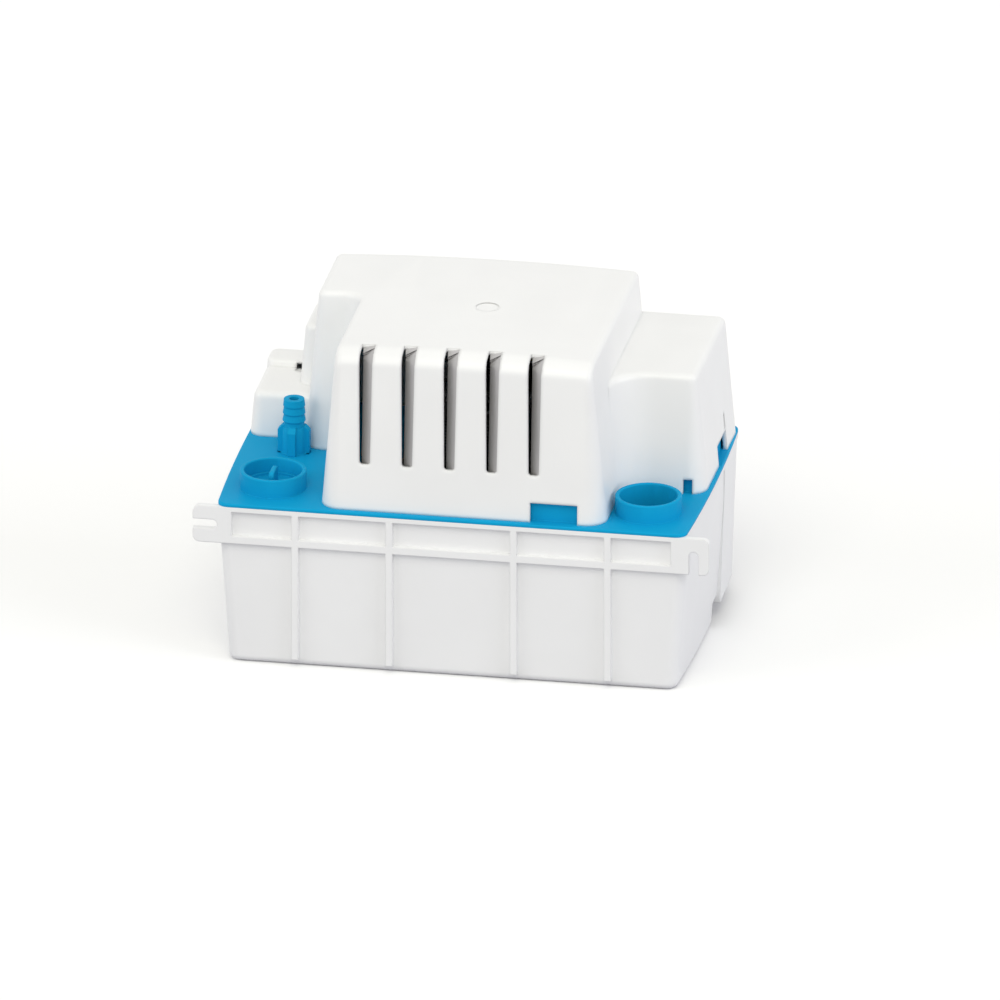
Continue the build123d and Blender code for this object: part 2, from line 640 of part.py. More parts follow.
def hump_block(inset, top_fillet):
    """Main hump with the wing on its left rear, under the crowned roof."""
    back = HALF_COVER - inset
    wing_x, wing_y = WING_X_LOW + inset, WING_Y_LOW + inset
    low, high = HUMP_X_LOW + inset, HUMP_X_HIGH - inset
    points = [(low, -back), (high, -back), (high, back), (wing_x, back), (wing_x, wing_y), (low, wing_y)]
    outline = make_face(Polyline(*points, close=True))
    nook = outline.vertices().sort_by_distance((low, wing_y))[0]
    outline = fillet(nook, WING_INNER_CORNER + inset)
    rest = [v for v in outline.vertices() if any((v.center() - Vector(*p)).length < 0.01 for p in points)]
    outline = fillet(rest, foot_corner(HUMP_CORNER, COVER_HEIGHT, inset))
    block = extrude(Pos(0, 0, LID_TOP) * outline, COVER_HEIGHT - inset, dir=(0, 0, 1), taper=COVER_LEAN)
    block &= crown(inset)
    if top_fillet:
        top = block.faces().sort_by(Axis.Z)[-1]
        block = fillet(top.edges(), top_fillet)
    return block


def pod_block(inset, top_fillet):
    """Switch pod on the right, swept into the hump by a large concave corner."""
    high, low_y, back = POD_X_HIGH - inset, POD_Y_LOW + inset, HALF_COVER - inset
    wall = HUMP_X_HIGH - inset
    radius = POD_SWEEP + inset
    start = wall + radius - SWEEP_SINK
    lap = wall - BLOCK_LAP
    centre_y = low_y - radius
    edges = [
        Line((lap, centre_y), (start - radius, centre_y)),
        CenterArc((start, centre_y), radius, 180, -90),
        Line((start, low_y), (high, low_y)),
        Line((high, low_y), (high, back)),
        Line((high, back), (lap, back)),
        Line((lap, back), (lap, centre_y)),
    ]
    face = make_face(edges)
    corners = [v for v in face.vertices() if v.X > high - 0.01]
    face = fillet(corners, foot_corner(POD_CORNER, POD_HEIGHT, inset))
    return tapered_block(face, POD_HEIGHT - inset, top_fillet)


def side_block(inset, x_low, y_low, height, corner, top_fillet):
    """Lower block on the left, running into the wing behind it."""
    back = HALF_COVER - inset
    low, y = x_low + inset, y_low + inset
    lap = WING_X_LOW + BLOCK_LAP
    face = make_face(Polyline((low, y), (lap, y), (lap, back), (low, back), close=True))
    face = fillet([v for v in face.vertices() if v.X < low + 0.01], corner)
    return tapered_block(face, height - inset, top_fillet)


def cover_form(inset):
    """The cover's whole outer form, or the hollow at a wall thickness inside it."""
    def top(radius):
        return 0.0 if inset else radius

    riser = CABLE_BOX_HEIGHT + RISER_HEIGHT
    box_corner = foot_corner(CABLE_BOX_CORNER, CABLE_BOX_HEIGHT, inset)
    form = hump_block(inset, top(HUMP_TOP_FILLET))
    form += pod_block(inset, top(POD_TOP_FILLET))
    form += side_block(inset, SHOULDER_X_LOW, SHOULDER_Y_LOW, SHOULDER_HEIGHT,
                       foot_corner(SHOULDER_CORNER, SHOULDER_HEIGHT, inset), top(SHOULDER_TOP_FILLET))
    form += side_block(inset, CABLE_BOX_X_LOW, CABLE_BOX_Y_LOW, CABLE_BOX_HEIGHT, box_corner,
                       top(CABLE_BOX_TOP_FILLET))
    form += side_block(inset, CABLE_BOX_X_LOW, RISER_Y, riser, box_corner, top(RISER_FILLET))
    return form


def slot_centres():
    first = SLOT_MIDDLE_X - SLOT_PITCH * (SLOT_COUNT - 1) / 2
    return [first + SLOT_PITCH * i for i in range(SLOT_COUNT)]


def slot_cut(x):
    """Slot that widens upward, from its foot over the edge into the roof."""
    foot, top = LID_TOP + SLOT_FOOT_HEIGHT, LID_TOP + COVER_HEIGHT + DIMPLE_DEPTH
    low, high = SLOT_FOOT_WIDTH / 2, SLOT_TOP_WIDTH / 2
    profile = make_face(Polyline((-low, foot), (low, foot), (high, top), (-high, top), close=True))
    profile = fillet(profile.vertices().group_by(Axis.Z)[0], SLOT_CORNER)
    return at(x, -HALF_COVER, 0, extrude(Plane.XZ * profile, -SLOT_ROOF_REACH))


def vane_section(right, turn):
    """Section of a louvre, from the slot's right edge inward and to the left."""
    left = right - VANE_SWEEP
    outline = Polyline((right, 0), (right + VANE_THICKNESS, 0), (left + VANE_THICKNESS, VANE_RUN),
                       (left, VANE_RUN), close=True)
    return turn * make_face(outline)


def vane(x):
    """Louvre behind a slot: an upright part along the wall, folded over along the roof."""
    lean = tan(radians(COVER_LEAN))
    half_top, half_foot = SLOT_TOP_WIDTH / 2, SLOT_FOOT_WIDTH / 2
    foot = LID_TOP + SLOT_FOOT_HEIGHT - VANE_LAP
    roof = LID_TOP + COVER_HEIGHT
    rise = roof - foot
    widening = (half_top - half_foot) / rise
    depth = COVER_WALL - VANE_LAP
    wall_y = -HALF_COVER + (foot - LID_TOP) * lean + depth
    direction = Vector(widening, lean, 1)
    upright = extrude(Pos(x, wall_y, foot) * vane_section(half_foot, Pos(0, 0, 0)),
                      rise * direction.length, dir=direction.normalized())
    along = Plane(origin=(x, -HALF_COVER, roof - depth - DIMPLE_DEPTH), x_dir=(1, 0, 0), z_dir=(0, 1, 0))
    folded = extrude(along * vane_section(half_top, Pos(0, 0, 0)), SLOT_ROOF_REACH + VANE_LAP)

    # Both parts end at the mitre between the wall and the roof.
    edge_y = -HALF_COVER + COVER_HEIGHT * lean
    slope = (1 + sin(radians(COVER_LEAN))) / cos(radians(COVER_LEAN))
    reach = 2 * VANE_RUN
    far = (edge_y + reach, roof - reach * slope)
    near = (edge_y - reach, roof + reach * slope)
    under = Plane.YZ * make_face(Polyline(near, far, (near[0], far[1]), close=True))
    over = Plane.YZ * make_face(Polyline(near, far, (far[0], near[1]), close=True))
    below = bar(-BODY_LENGTH, BODY_LENGTH, near[0], far[0], foot - 1, far[1])
    wedge = extrude(under, BODY_LENGTH, both=True) + below
    return upright & wedge, folded & extrude(over, BODY_LENGTH, both=True)


def cord_boss_y():
    """Outer face of the cover's boss around the cord bushing."""
    return HALF_COVER + CORD_BOSS_PROUD


def cover():
    outer = cover_form(0.0)
    shell = outer - cover_form(COVER_WALL)

    # Louvred slots: over the edge into the roof on the ear side, and within the wall at the rear.
    uprights = Part() + [vane(x)[0] for x in slot_centres()]
    folds = Part() + [vane(x)[1] for x in slot_centres()]
    cuts = Part() + [slot_cut(x) for x in slot_centres()]
    wall_part = bar(-BODY_LENGTH, BODY_LENGTH, -BODY_DEPTH, BODY_DEPTH, LID_TOP,
                    LID_TOP + COVER_HEIGHT - REAR_SLOT_DROP)
    rear_cuts = mirror(cuts & wall_part, about=Plane.XZ)
    rear_vanes = mirror(uprights, about=Plane.XZ)
    shell = shell - cuts - rear_cuts + ((uprights + folds + rear_vanes) & outer)

    # Notches at the foot, over the lid's upstands.
    half = LONG_NOTCH_WIDTH / 2
    reach = COVER_WALL * 2
    for side in (-1, 1):
        y = side * HALF_COVER
        shell -= bar(LONG_NOTCH_X - half, LONG_NOTCH_X + half, y - reach, y + reach,
                     LID_TOP, LID_TOP + LONG_NOTCH_HEIGHT)
    half = END_NOTCH_WIDTH / 2
    shell -= bar(POD_X_HIGH - reach, POD_X_HIGH + reach, END_NOTCH_Y - half, END_NOTCH_Y + half,
                 LID_TOP, LID_TOP + END_NOTCH_HEIGHT)
    shell -= bar(POD_X_HIGH - reach, POD_X_HIGH + reach,
                 END_NOTCH_Y + half - END_SLIT_WIDTH, END_NOTCH_Y + half,
                 LID_TOP + END_SLIT_LOW, LID_TOP + END_SLIT_HIGH)
    half = POD_NOTCH_WIDTH / 2
    shell -= bar(POD_NOTCH_X - half, POD_NOTCH_X + half, POD_Y_LOW - reach, POD_Y_LOW + reach,
                 LID_TOP, LID_TOP + POD_NOTCH_HEIGHT)

    # Shallow dimple in the middle of the roof, and the small hole in the riser.
    radius = DIMPLE_DIAMETER / 2
    middle_x = (HUMP_X_LOW + HUMP_X_HIGH) / 2
    top = LID_TOP + COVER_HEIGHT
    shell -= rod(radius, top - DIMPLE_DEPTH, top + 1, middle_x, 0)
    half = RISER_HOLE_WIDTH / 2
    hole_top = LID_TOP + CABLE_BOX_HEIGHT + RISER_HEIGHT - RISER_FILLET
    shell -= bar(RISER_HOLE_X - half, RISER_HOLE_X + half, RISER_Y - 2, RISER_Y + 2 * COVER_WALL,
                 LID_TOP + CABLE_BOX_HEIGHT - 1, hole_top + 1)

    # Boss and hole for the cord bushing.
    height = LID_TOP + CORD_INLET_HEIGHT
    hole = CORD_BORE / 2 + CORD_BUSHING_WALL
    boss = Cylinder(hole + CORD_BOSS_WALL, CORD_BOSS_DEPTH) - Cylinder(hole, CORD_BOSS_DEPTH)
    shell -= at(CORD_INLET_X, HALF_COVER, height, Rot(90, 0, 0) * Cylinder(hole, 4 * CORD_BOSS_DEPTH))
    centre_y = cord_boss_y() - CORD_BOSS_DEPTH / 2
    shell += at(CORD_INLET_X, centre_y, height, Rot(90, 0, 0) * boss)
    return shell


def cord_bushing():
    """Flanged bushing that lines the cord's way in."""
    bore = CORD_BORE / 2
    outer = bore + CORD_BUSHING_WALL
    length = CORD_BOSS_DEPTH
    body = Cylinder(outer, length + 2 * CORD_FLANGE_THICKNESS)
    for side in (-1, 1):
        offset = side * (length + CORD_FLANGE_THICKNESS) / 2
        body += Pos(0, 0, offset) * Cylinder(outer + CORD_FLANGE, CORD_FLANGE_THICKNESS)
    body -= Cylinder(bore, 2 * length)
    centre_y = cord_boss_y() - length / 2
    return at(CORD_INLET_X, centre_y, LID_TOP + CORD_INLET_HEIGHT, Rot(90, 0, 0) * body)


# -------------------------------------------------------------------------------------------- check valve


def check_valve_body():
    radius = SOCKET_BORE / 2 - VALVE_CLEARANCE
    foot = SOCKET_FOOT + SOCKET_FLOOR + CHAMBER_FOOT_GAP
    body = rod(radius, foot, LID_TOP, 0, 0)
    body -= tube(radius + 1, radius - SEAL_DEPTH, SEAL_HEIGHT, SEAL_HEIGHT + SEAL_THICKNESS)

    # Bayonet lugs, on the Y axis when locked.
    wide = radius + LUG_REACH
    half = wide * sin(radians(LUG_ANGLE / 2))
    lugs = rod(wide, LUG_TOP - LUG_HEIGHT, LUG_TOP) & bar(-half, half, -wide, wide, 0, LID_TOP)
    body += lugs

    # Hub with grip ribs and a sloping shoulder, then the barb.
    hub_top = LID_TOP + VALVE_HUB_HEIGHT
    shoulder_top = hub_top + VALVE_SHOULDER_HEIGHT
    hub = VALVE_HUB / 2
    body += rod(hub, LID_TOP, hub_top)
    half = VALVE_GRIP_WIDTH / 2
    grip = bar(0, VALVE_GRIP / 2, -half, half, LID_TOP, hub_top + VALVE_GRIP_RISE)
    grip = chamfer(grip.edges().filter_by(Axis.Y).group_by(Axis.Z)[-1].sort_by(Axis.X)[-1], VALVE_GRIP_SLOPE)
    for i in range(VALVE_GRIPS):
        body += Rot(0, 0, 360 * i / VALVE_GRIPS) * grip
    barb_foot = BARB_ROOT / 2
    top = LID_TOP + BARB_HEIGHT
    points = [(0, hub_top), (hub, hub_top), (barb_foot + 0.4, shoulder_top), (barb_foot, shoulder_top)]
    land_top = shoulder_top + BARB_LAND
    first = top - BARB_RINGS * BARB_PITCH
    points.append((barb_foot, max(first, land_top)))
    for i in range(BARB_RINGS):
        low = first + i * BARB_PITCH
        crest = BARB_CREST / 2 - (BARB_CREST - BARB_TIP) / 2 * i / (BARB_RINGS - 1)
        points += [(crest, low + 0.6), (barb_foot, low + BARB_PITCH)]
    points.append((0, top))
    profile = make_face(Polyline(*points, close=True))
    body += revolve(Plane.XZ * profile, Axis.Z)

    # Ball chamber, with its roof high enough for the ball's lift, and the way out.
    roof = ball_height() + BALL_DIAMETER / 2 + BALL_LIFT + 1.0
    body -= rod(VALVE_CHAMBER / 2, foot, roof)
    body -= rod(BARB_BORE / 2, foot, top)
    return at(VALVE_X, VALVE_Y, 0, body)


def ball_height():
    """Centre of the ball when it lies on the rim of its seat."""
    seat = SEAT_BORE / 2
    rise = ((BALL_DIAMETER / 2) ** 2 - seat ** 2) ** 0.5
    return SOCKET_FOOT + SOCKET_FLOOR + rise + BALL_GAP


def check_valve_ball():
    return at(VALVE_X, VALVE_Y, ball_height(), Sphere(BALL_DIAMETER / 2))


def check_valve_seal():
    radius = SOCKET_BORE / 2 - VALVE_CLEARANCE
    ring = tube(radius, radius - SEAL_DEPTH, SEAL_HEIGHT, SEAL_HEIGHT + SEAL_THICKNESS)
    return at(VALVE_X, VALVE_Y, 0, ring)


def discharge_tube():
    """Moulded elbow from the volute's spigot up to the valve socket's nipple."""
    start = (TUBE_START_X, VALVE_Y, SPIGOT_HEIGHT)
    corner = (VALVE_X, VALVE_Y, SPIGOT_HEIGHT)
    end = (VALVE_X, VALVE_Y, SOCKET_FOOT)
    path = FilletPolyline(start, corner, end, radius=TUBE_BEND)
    across = Plane(origin=start, z_dir=(-1, 0, 0))
    ring = across * (Circle(TUBE_RADIUS) - Circle(SPIGOT_DIAMETER / 2))
    return sweep(ring, path=path)


# ---------------------------------------------------------------------------------------- volute and impeller


def scroll_outline(offset):
    """Plan outline of the scroll about the shaft: a spiral that opens into the outlet along -X."""
    steps = 8
    outlet_y = VALVE_Y - MOTOR_Y
    throat = SPIGOT_BORE / 2 + offset

    def spiral(turn):
        radius = SCROLL_START + SCROLL_GROWTH * turn / 360 + offset
        angle = radians(90 - turn)
        return (radius * cos(angle), radius * sin(angle))

    outer = [spiral(360 - SCROLL_SWEEP * (1 - i / steps)) for i in range(steps + 1)]
    tongue = (outer[0][0], outer[0][1])
    curve = Spline(*outer)
    back = Line(outer[-1], (0, 0))
    front = Line((0, 0), tongue)
    face = make_face([curve, back, front])
    circle = Circle(SCROLL_START + offset)
    outlet_length = MOTOR_X - SPIGOT_END_X - SCROLL_WALL * 4
    outlet = Pos(-outlet_length / 4, outlet_y) * Rectangle(outlet_length / 2, 2 * throat)
    return Pos(MOTOR_X, MOTOR_Y) * (face + circle + outlet)


def volute_housing():
    shell = extrude(Pos(0, 0, SCROLL_FLOOR) * scroll_outline(SCROLL_WALL),
                    SCROLL_HEIGHT + SCROLL_WALL, dir=(0, 0, 1))
    shell -= extrude(Pos(0, 0, SCROLL_FLOOR) * scroll_outline(0), SCROLL_HEIGHT, dir=(0, 0, 1))

    # Outlet spigot, round inside and out.
    length = MOTOR_X - SPIGOT_END_X
    spigot = Cylinder(SPIGOT_DIAMETER / 2, length, align=(Align.CENTER, Align.CENTER, Align.MIN))
    spigot -= Cylinder(SPIGOT_BORE / 2, length, align=(Align.CENTER, Align.CENTER, Align.MIN))
    outlet_x = MOTOR_X - (MOTOR_X - SPIGOT_END_X - SCROLL_WALL * 4) / 2 + SCROLL_WALL
    spigot = at(MOTOR_X, VALVE_Y, SPIGOT_HEIGHT, Rot(0, -90, 0) * spigot)
    spigot &= bar(SPIGOT_END_X, outlet_x, -HALF_DEPTH, HALF_DEPTH, 0, RIM_HEIGHT)
    bore = Cylinder(SPIGOT_BORE / 2, length, align=(Align.CENTER, Align.CENTER, Align.MIN))
    shell -= at(MOTOR_X, VALVE_Y, SPIGOT_HEIGHT, Rot(0, -90, 0) * bore)
    shell += spigot

    # Column round the shaft, with drain windows, up to the flange under the lid.
    outer, inner = COLUMN_DIAMETER / 2, COLUMN_DIAMETER / 2 - COLUMN_WALL
    roof = SCROLL_ROOF + SCROLL_WALL
    column = rod(outer, roof, RIM_HEIGHT, MOTOR_X, MOTOR_Y)
    flange_foot = RIM_HEIGHT - COLUMN_FLANGE_THICKNESS
    flange = rod(COLUMN_FLANGE_DIAMETER / 2, flange_foot, RIM_HEIGHT, MOTOR_X, MOTOR_Y)
    column += flange
    column -= rod(inner, roof, RIM_HEIGHT, MOTOR_X, MOTOR_Y)
    for x, y in column_screw_centres():
        column -= rod(SCREW_DIAMETER / 2, flange_foot, RIM_HEIGHT, x, y)
    half = COLUMN_WINDOW_WIDTH / 2
    low = (roof + flange_foot - COLUMN_WINDOW_HEIGHT) / 2
    window = bar(-outer, outer, -half, half, low, low + COLUMN_WINDOW_HEIGHT)
    for turn in (0, 90):
        column -= at(MOTOR_X, MOTOR_Y, 0, Rot(0, 0, turn) * window)
    shell += column
    shell -= rod(SHAFT_RADIUS + 0.5, SCROLL_FLOOR, roof, MOTOR_X, MOTOR_Y)
    return shell


def volute_cover():
    """Bottom plate of the volute with its intake and a ring of strainer teeth."""
    low = SCROLL_FLOOR - VOLUTE_COVER_THICKNESS
    plate = extrude(Pos(0, 0, low) * scroll_outline(SCROLL_WALL), VOLUTE_COVER_THICKNESS, dir=(0, 0, 1))
    plate -= rod(INTAKE_DIAMETER / 2, low, SCROLL_FLOOR, MOTOR_X, MOTOR_Y)
    deep, wide = STRAINER_THICKNESS / 2, STRAINER_WIDTH / 2
    tooth = bar(STRAINER_RING - deep, STRAINER_RING + deep, -wide, wide, STRAINER_FOOT, low)
    for i in range(STRAINER_TEETH):
        plate += at(MOTOR_X, MOTOR_Y, 0, Rot(0, 0, 360 * i / STRAINER_TEETH) * tooth)
    return plate


def impeller():
    """Open impeller: a disc with backward-swept vanes hanging under it."""
    disc_top = SCROLL_ROOF - IMPELLER_TOP_GAP
    disc_foot = disc_top - IMPELLER_DISC
    vane_foot = disc_foot - IMPELLER_VANE_HEIGHT
    wheel = rod(IMPELLER_RADIUS, disc_foot, disc_top)
    wheel += rod(IMPELLER_HUB, vane_foot, disc_foot)
    sweep_radius = IMPELLER_RADIUS * 0.7
    centre = (IMPELLER_HUB * 0.6, IMPELLER_HUB * 0.2 - sweep_radius)
    arc = Pos(*centre) * (Circle(sweep_radius) - Circle(sweep_radius - IMPELLER_VANE_WALL))
    blade = extrude(Pos(0, 0, vane_foot) * arc, IMPELLER_VANE_HEIGHT, dir=(0, 0, 1))
    blade &= bar(IMPELLER_HUB * 0.6, IMPELLER_RADIUS, -IMPELLER_RADIUS, IMPELLER_RADIUS, 0, disc_top)
    blade &= rod(IMPELLER_RADIUS - IMPELLER_TIP_GAP, vane_foot, disc_foot)
    for i in range(IMPELLER_VANES):
        wheel += Rot(0, 0, 360 * i / IMPELLER_VANES) * blade
    wheel -= rod(SHAFT_RADIUS, SHAFT_FOOT, disc_top)
    return at(MOTOR_X, MOTOR_Y, 0, wheel)


def column_screws():
    under = RIM_HEIGHT - COLUMN_FLANGE_THICKNESS
    length = COLUMN_FLANGE_THICKNESS + LID_THICKNESS + SCREW_GRIP - 0.5
    return [screw(x, y, under, length, up=True) for x, y in column_screw_centres()]


# --------------------------------------------------------------------------------------------------- motor


def centred(thing):
    """Move a piece that is modelled about the shaft to the motor's place."""
    return Pos(MOTOR_X, MOTOR_Y, 0) * thing


def motor_shaft():
    shaft = rod(SHAFT_RADIUS, SHAFT_FOOT, SHAFT_TOP)
    return centred(chamfer(shaft.edges().filter_by(GeomType.CIRCLE), 0.5))


def bolt_centres():
    return [(i * BOLT_X / 2, y) for i in (-1, 1) for y in (BOLT_FRONT, BOLT_BACK)]


def lower_bracket():
    plate = RectangleRounded(PLATE_LENGTH, PLATE_WIDTH, PLATE_CORNER)
    body = extrude(Pos(0, 0, PLATE_HEIGHT) * plate, PLATE_THICKNESS, dir=(0, 0, 1))
    boss = BEARING_RADIUS + BOSS_WALL
    top = PLATE_HEIGHT + BEARING_LENGTH - 2
    body += rod(boss, PLATE_HEIGHT - 2, top)
    body -= rod(BEARING_RADIUS, PLATE_HEIGHT - 2, top)
    plate_top = PLATE_HEIGHT + PLATE_THICKNESS
    for x, y in motor_posts():
        body -= rod(SCREW_DIAMETER / 2, PLATE_HEIGHT, plate_top, x - MOTOR_X, y - MOTOR_Y)
    for x, y in bolt_centres():
        body -= rod(BOLT_DIAMETER / 2, PLATE_HEIGHT, plate_top, x, y)
    return centred(body)


def upper_bracket():
    """Strap across the stack on two cranked legs, with the upper bearing's boss."""
    half_x = BOLT_X / 2 + SPACER_DIAMETER / 2
    span_y = BOLT_BACK - BOLT_FRONT
    middle_y = (BOLT_BACK + BOLT_FRONT) / 2
    top = STRAP_HEIGHT + STRAP_THICKNESS
    strap = bar(-half_x, half_x, -STRAP_WIDTH / 2, STRAP_WIDTH / 2, STRAP_HEIGHT, top)
    legs = Part()
    for side in (-1, 1):
        x = side * (half_x - STRAP_THICKNESS / 2)
        leg = bar(x - STRAP_THICKNESS / 2, x + STRAP_THICKNESS / 2, -STRAP_WIDTH / 2, STRAP_WIDTH / 2,
                  STACK_TOP, top)
        foot_width = SPACER_DIAMETER
        foot = RectangleRounded(foot_width, span_y + foot_width, foot_width / 2 - 0.01)
        foot = Pos(side * BOLT_X / 2, middle_y, STACK_TOP) * foot
        legs += leg + extrude(foot, STRAP_THICKNESS, dir=(0, 0, 1))
    body = strap + legs
    boss_foot = STRAP_HEIGHT - BEARING_LENGTH + STRAP_THICKNESS + 1
    body += rod(BEARING_RADIUS + BOSS_WALL, boss_foot, top + 1)
    body -= rod(BEARING_RADIUS, boss_foot, top + 1)
    for x, y in bolt_centres():
        body -= rod(BOLT_DIAMETER / 2, STACK_TOP, STACK_TOP + STRAP_THICKNESS, x, y)
    return centred(body)


def bearing(low):
    return centred(tube(BEARING_RADIUS, SHAFT_RADIUS + RUNNING_CLEARANCE, low, low + BEARING_LENGTH))


def lower_bearing():
    return bearing(PLATE_HEIGHT - 2)


def upper_bearing():
    return bearing(STRAP_HEIGHT - BEARING_LENGTH + STRAP_THICKNESS + 1)


def shading_slot(side):
    """Plan of the slot for one pole's shading ring."""
    bore = ROTOR_RADIUS + AIR_GAP
    turn = radians(SHADING_ANGLE)
    place = Pos(side * bore * cos(turn), side * bore * sin(turn)) * Rot(0, 0, SHADING_ANGLE)
    return place * Rectangle(SHADING_SLOT, 2 * RING_THICKNESS)


def stator_laminations():
    """C-frame stack: two poles round the rotor, and a bar for the coil behind the window."""
    depth = STACK_FRONT + STACK_BACK
    middle = (STACK_BACK - STACK_FRONT) / 2
    face = Pos(0, middle) * RectangleRounded(STACK_LENGTH_X, depth, STACK_CORNER)
    bore = ROTOR_RADIUS + AIR_GAP
    face -= Circle(bore)
    window_depth = WINDOW_BACK - WINDOW_FRONT
    face -= Pos(0, (WINDOW_BACK + WINDOW_FRONT) / 2) * Rectangle(WINDOW_X, window_depth)
    face -= Pos(0, (bore + WINDOW_FRONT) / 2) * Rectangle(POLE_SLOT, WINDOW_FRONT - bore + 4)
    face -= Pos(0, -bore) * Rectangle(POLE_SLOT, 6)
    for x, y in bolt_centres():
        face -= Pos(x, y) * Circle(BOLT_DIAMETER / 2)
    for side in (-1, 1):
        face -= shading_slot(side)
    return centred(extrude(Pos(0, 0, STACK_FOOT) * face, STACK_HEIGHT, dir=(0, 0, 1)))


def coil_section(grow_y, grow_z):
    """Block round the stack's rear bar, grown by amounts in Y and Z."""
    return WINDOW_BACK - grow_y, STACK_BACK + grow_y, STACK_FOOT - grow_z, STACK_TOP + grow_z


def sleeve_round_bar(length, inner, outer):
    y0, y1, z0, z1 = coil_section(outer, outer)
    block = bar(-length / 2, length / 2, y0, y1, z0, z1)
    block = fillet(block.edges().filter_by(Axis.X), min(outer * 0.5, 4))
    y0, y1, z0, z1 = coil_section(inner, inner)
    return block - bar(-length / 2, length / 2, y0, y1, z0, z1)


def coil_bobbin():
    body = sleeve_round_bar(COIL_LENGTH, 0.0, BOBBIN_WALL)
    flange = sleeve_round_bar(BOBBIN_FLANGE, 0.0, BOBBIN_WALL + COIL_WALL)
    for side in (-1, 1):
        body += Pos(side * (COIL_LENGTH - BOBBIN_FLANGE) / 2, 0, 0) * flange
    return centred(body)


def coil_winding():
    wound = sleeve_round_bar(COIL_LENGTH - 2 * BOBBIN_FLANGE, BOBBIN_WALL, BOBBIN_WALL + COIL_WALL - 1.0)
    return centred(wound)


def rotor_core():
    """Laminated rotor with skewed bars showing as grooves, and end rings."""
    low = STACK_FOOT - ROTOR_OVERHANG
    high = STACK_TOP + ROTOR_OVERHANG
    core = rod(ROTOR_RADIUS, low, high)
    core = chamfer(core.edges().filter_by(GeomType.CIRCLE), 1.0)
    core -= rod(SHAFT_RADIUS, low, high)
    return centred(core)


def stack_bolts():
    """Through bolts of the stack, with a nut under the lower plate."""
    top = STACK_TOP + STRAP_THICKNESS
    low = PLATE_HEIGHT - 2.5
    bolts = []
    for x, y in bolt_centres():
        bolt = rod(BOLT_DIAMETER / 2, low, top, x, y)
        head = extrude(Pos(x, y, top) * RegularPolygon(BOLT_DIAMETER * 0.9, 6), 2.5, dir=(0, 0, 1))
        nut = extrude(Pos(x, y, low) * RegularPolygon(BOLT_DIAMETER * 0.9, 6), 2.5, dir=(0, 0, 1))
        bolts.append(centred(bolt + head + nut))
    return bolts


def stack_spacers():
    low, high = PLATE_HEIGHT + PLATE_THICKNESS, STACK_FOOT
    return [centred(tube(SPACER_DIAMETER / 2, BOLT_DIAMETER / 2, low, high, x, y)) for x, y in bolt_centres()]


def motor_mounts():
    low = PLATE_HEIGHT - MOUNT_HEIGHT
    rings = []
    for x, y in motor_posts():
        ring = tube(MOUNT_DIAMETER / 2, SCREW_DIAMETER / 2, low, PLATE_HEIGHT, x, y)
        rings.append(ring)
    return rings


def motor_screws():
    under = PLATE_HEIGHT + PLATE_THICKNESS
    length = PLATE_THICKNESS + MOUNT_HEIGHT + SCREW_GRIP - 0.5
    return [screw(x, y, under, length) for x, y in motor_posts()]


def cooling_fan():
    hub = rod(FAN_HUB, FAN_HEIGHT, FAN_HEIGHT + FAN_HUB_HEIGHT)
    hub = fillet(hub.edges().filter_by(GeomType.CIRCLE).group_by(Axis.Z)[-1], 1.5)
    reach = FAN_RADIUS - FAN_HUB / 2
    blade = Box(reach, FAN_BLADE_WIDTH, FAN_BLADE_THICKNESS, align=(Align.MIN, Align.CENTER, Align.CENTER))
    blade = Pos(FAN_HUB / 2, 0, 0) * Rot(FAN_PITCH, 0, 0) * blade
    blade = Pos(0, 0, FAN_HEIGHT + FAN_HUB_HEIGHT / 2) * blade
    blade &= rod(FAN_RADIUS, FAN_HEIGHT - FAN_BLADE_WIDTH, FAN_HEIGHT + FAN_HUB_HEIGHT + FAN_BLADE_WIDTH)
    for i in range(FAN_BLADES):
        hub += Rot(0, 0, 360 * i / FAN_BLADES) * blade
    hub -= rod(SHAFT_RADIUS, FAN_HEIGHT - FAN_HUB, FAN_HEIGHT + FAN_HUB_HEIGHT + FAN_HUB)
    return centred(hub)


# ----------------------------------------------------------------------------------- float and switches


def float_block():
    plan = Pos(FLOAT_X, FLOAT_Y, FLOAT_FOOT) * RectangleRounded(FLOAT_LENGTH, FLOAT_WIDTH, FLOAT_CORNER)
    block = extrude(plan, FLOAT_HEIGHT, dir=(0, 0, 1))
    ends = block.edges().group_by(Axis.Z)
    block = fillet(ends[0] + ends[-1], FLOAT_EDGE)
    return block - rod(STEM_DIAMETER / 2, FLOAT_FOOT, FLOAT_FOOT + FLOAT_HEIGHT, FLOAT_X, FLOAT_Y)


def finger_height():
    """Height of the lever's fingers when the float is down."""
    return PIVOT_HEIGHT - LEVER_ARM * sin(radians(SWING))


def float_stem():
    middle = finger_height()
    gap = FINGER_DIAMETER / 2 + FINGER_PLAY
    low, high = middle - gap, middle + gap
    stem = rod(STEM_DIAMETER / 2, FLOAT_FOOT, high + COLLAR_THICKNESS + 1, FLOAT_X, FLOAT_Y)
    stem += rod(COLLAR_DIAMETER / 2, low - COLLAR_THICKNESS, low, FLOAT_X, FLOAT_Y)
    stem += rod(COLLAR_DIAMETER / 2, high, high + COLLAR_THICKNESS, FLOAT_X, FLOAT_Y)
    return stem


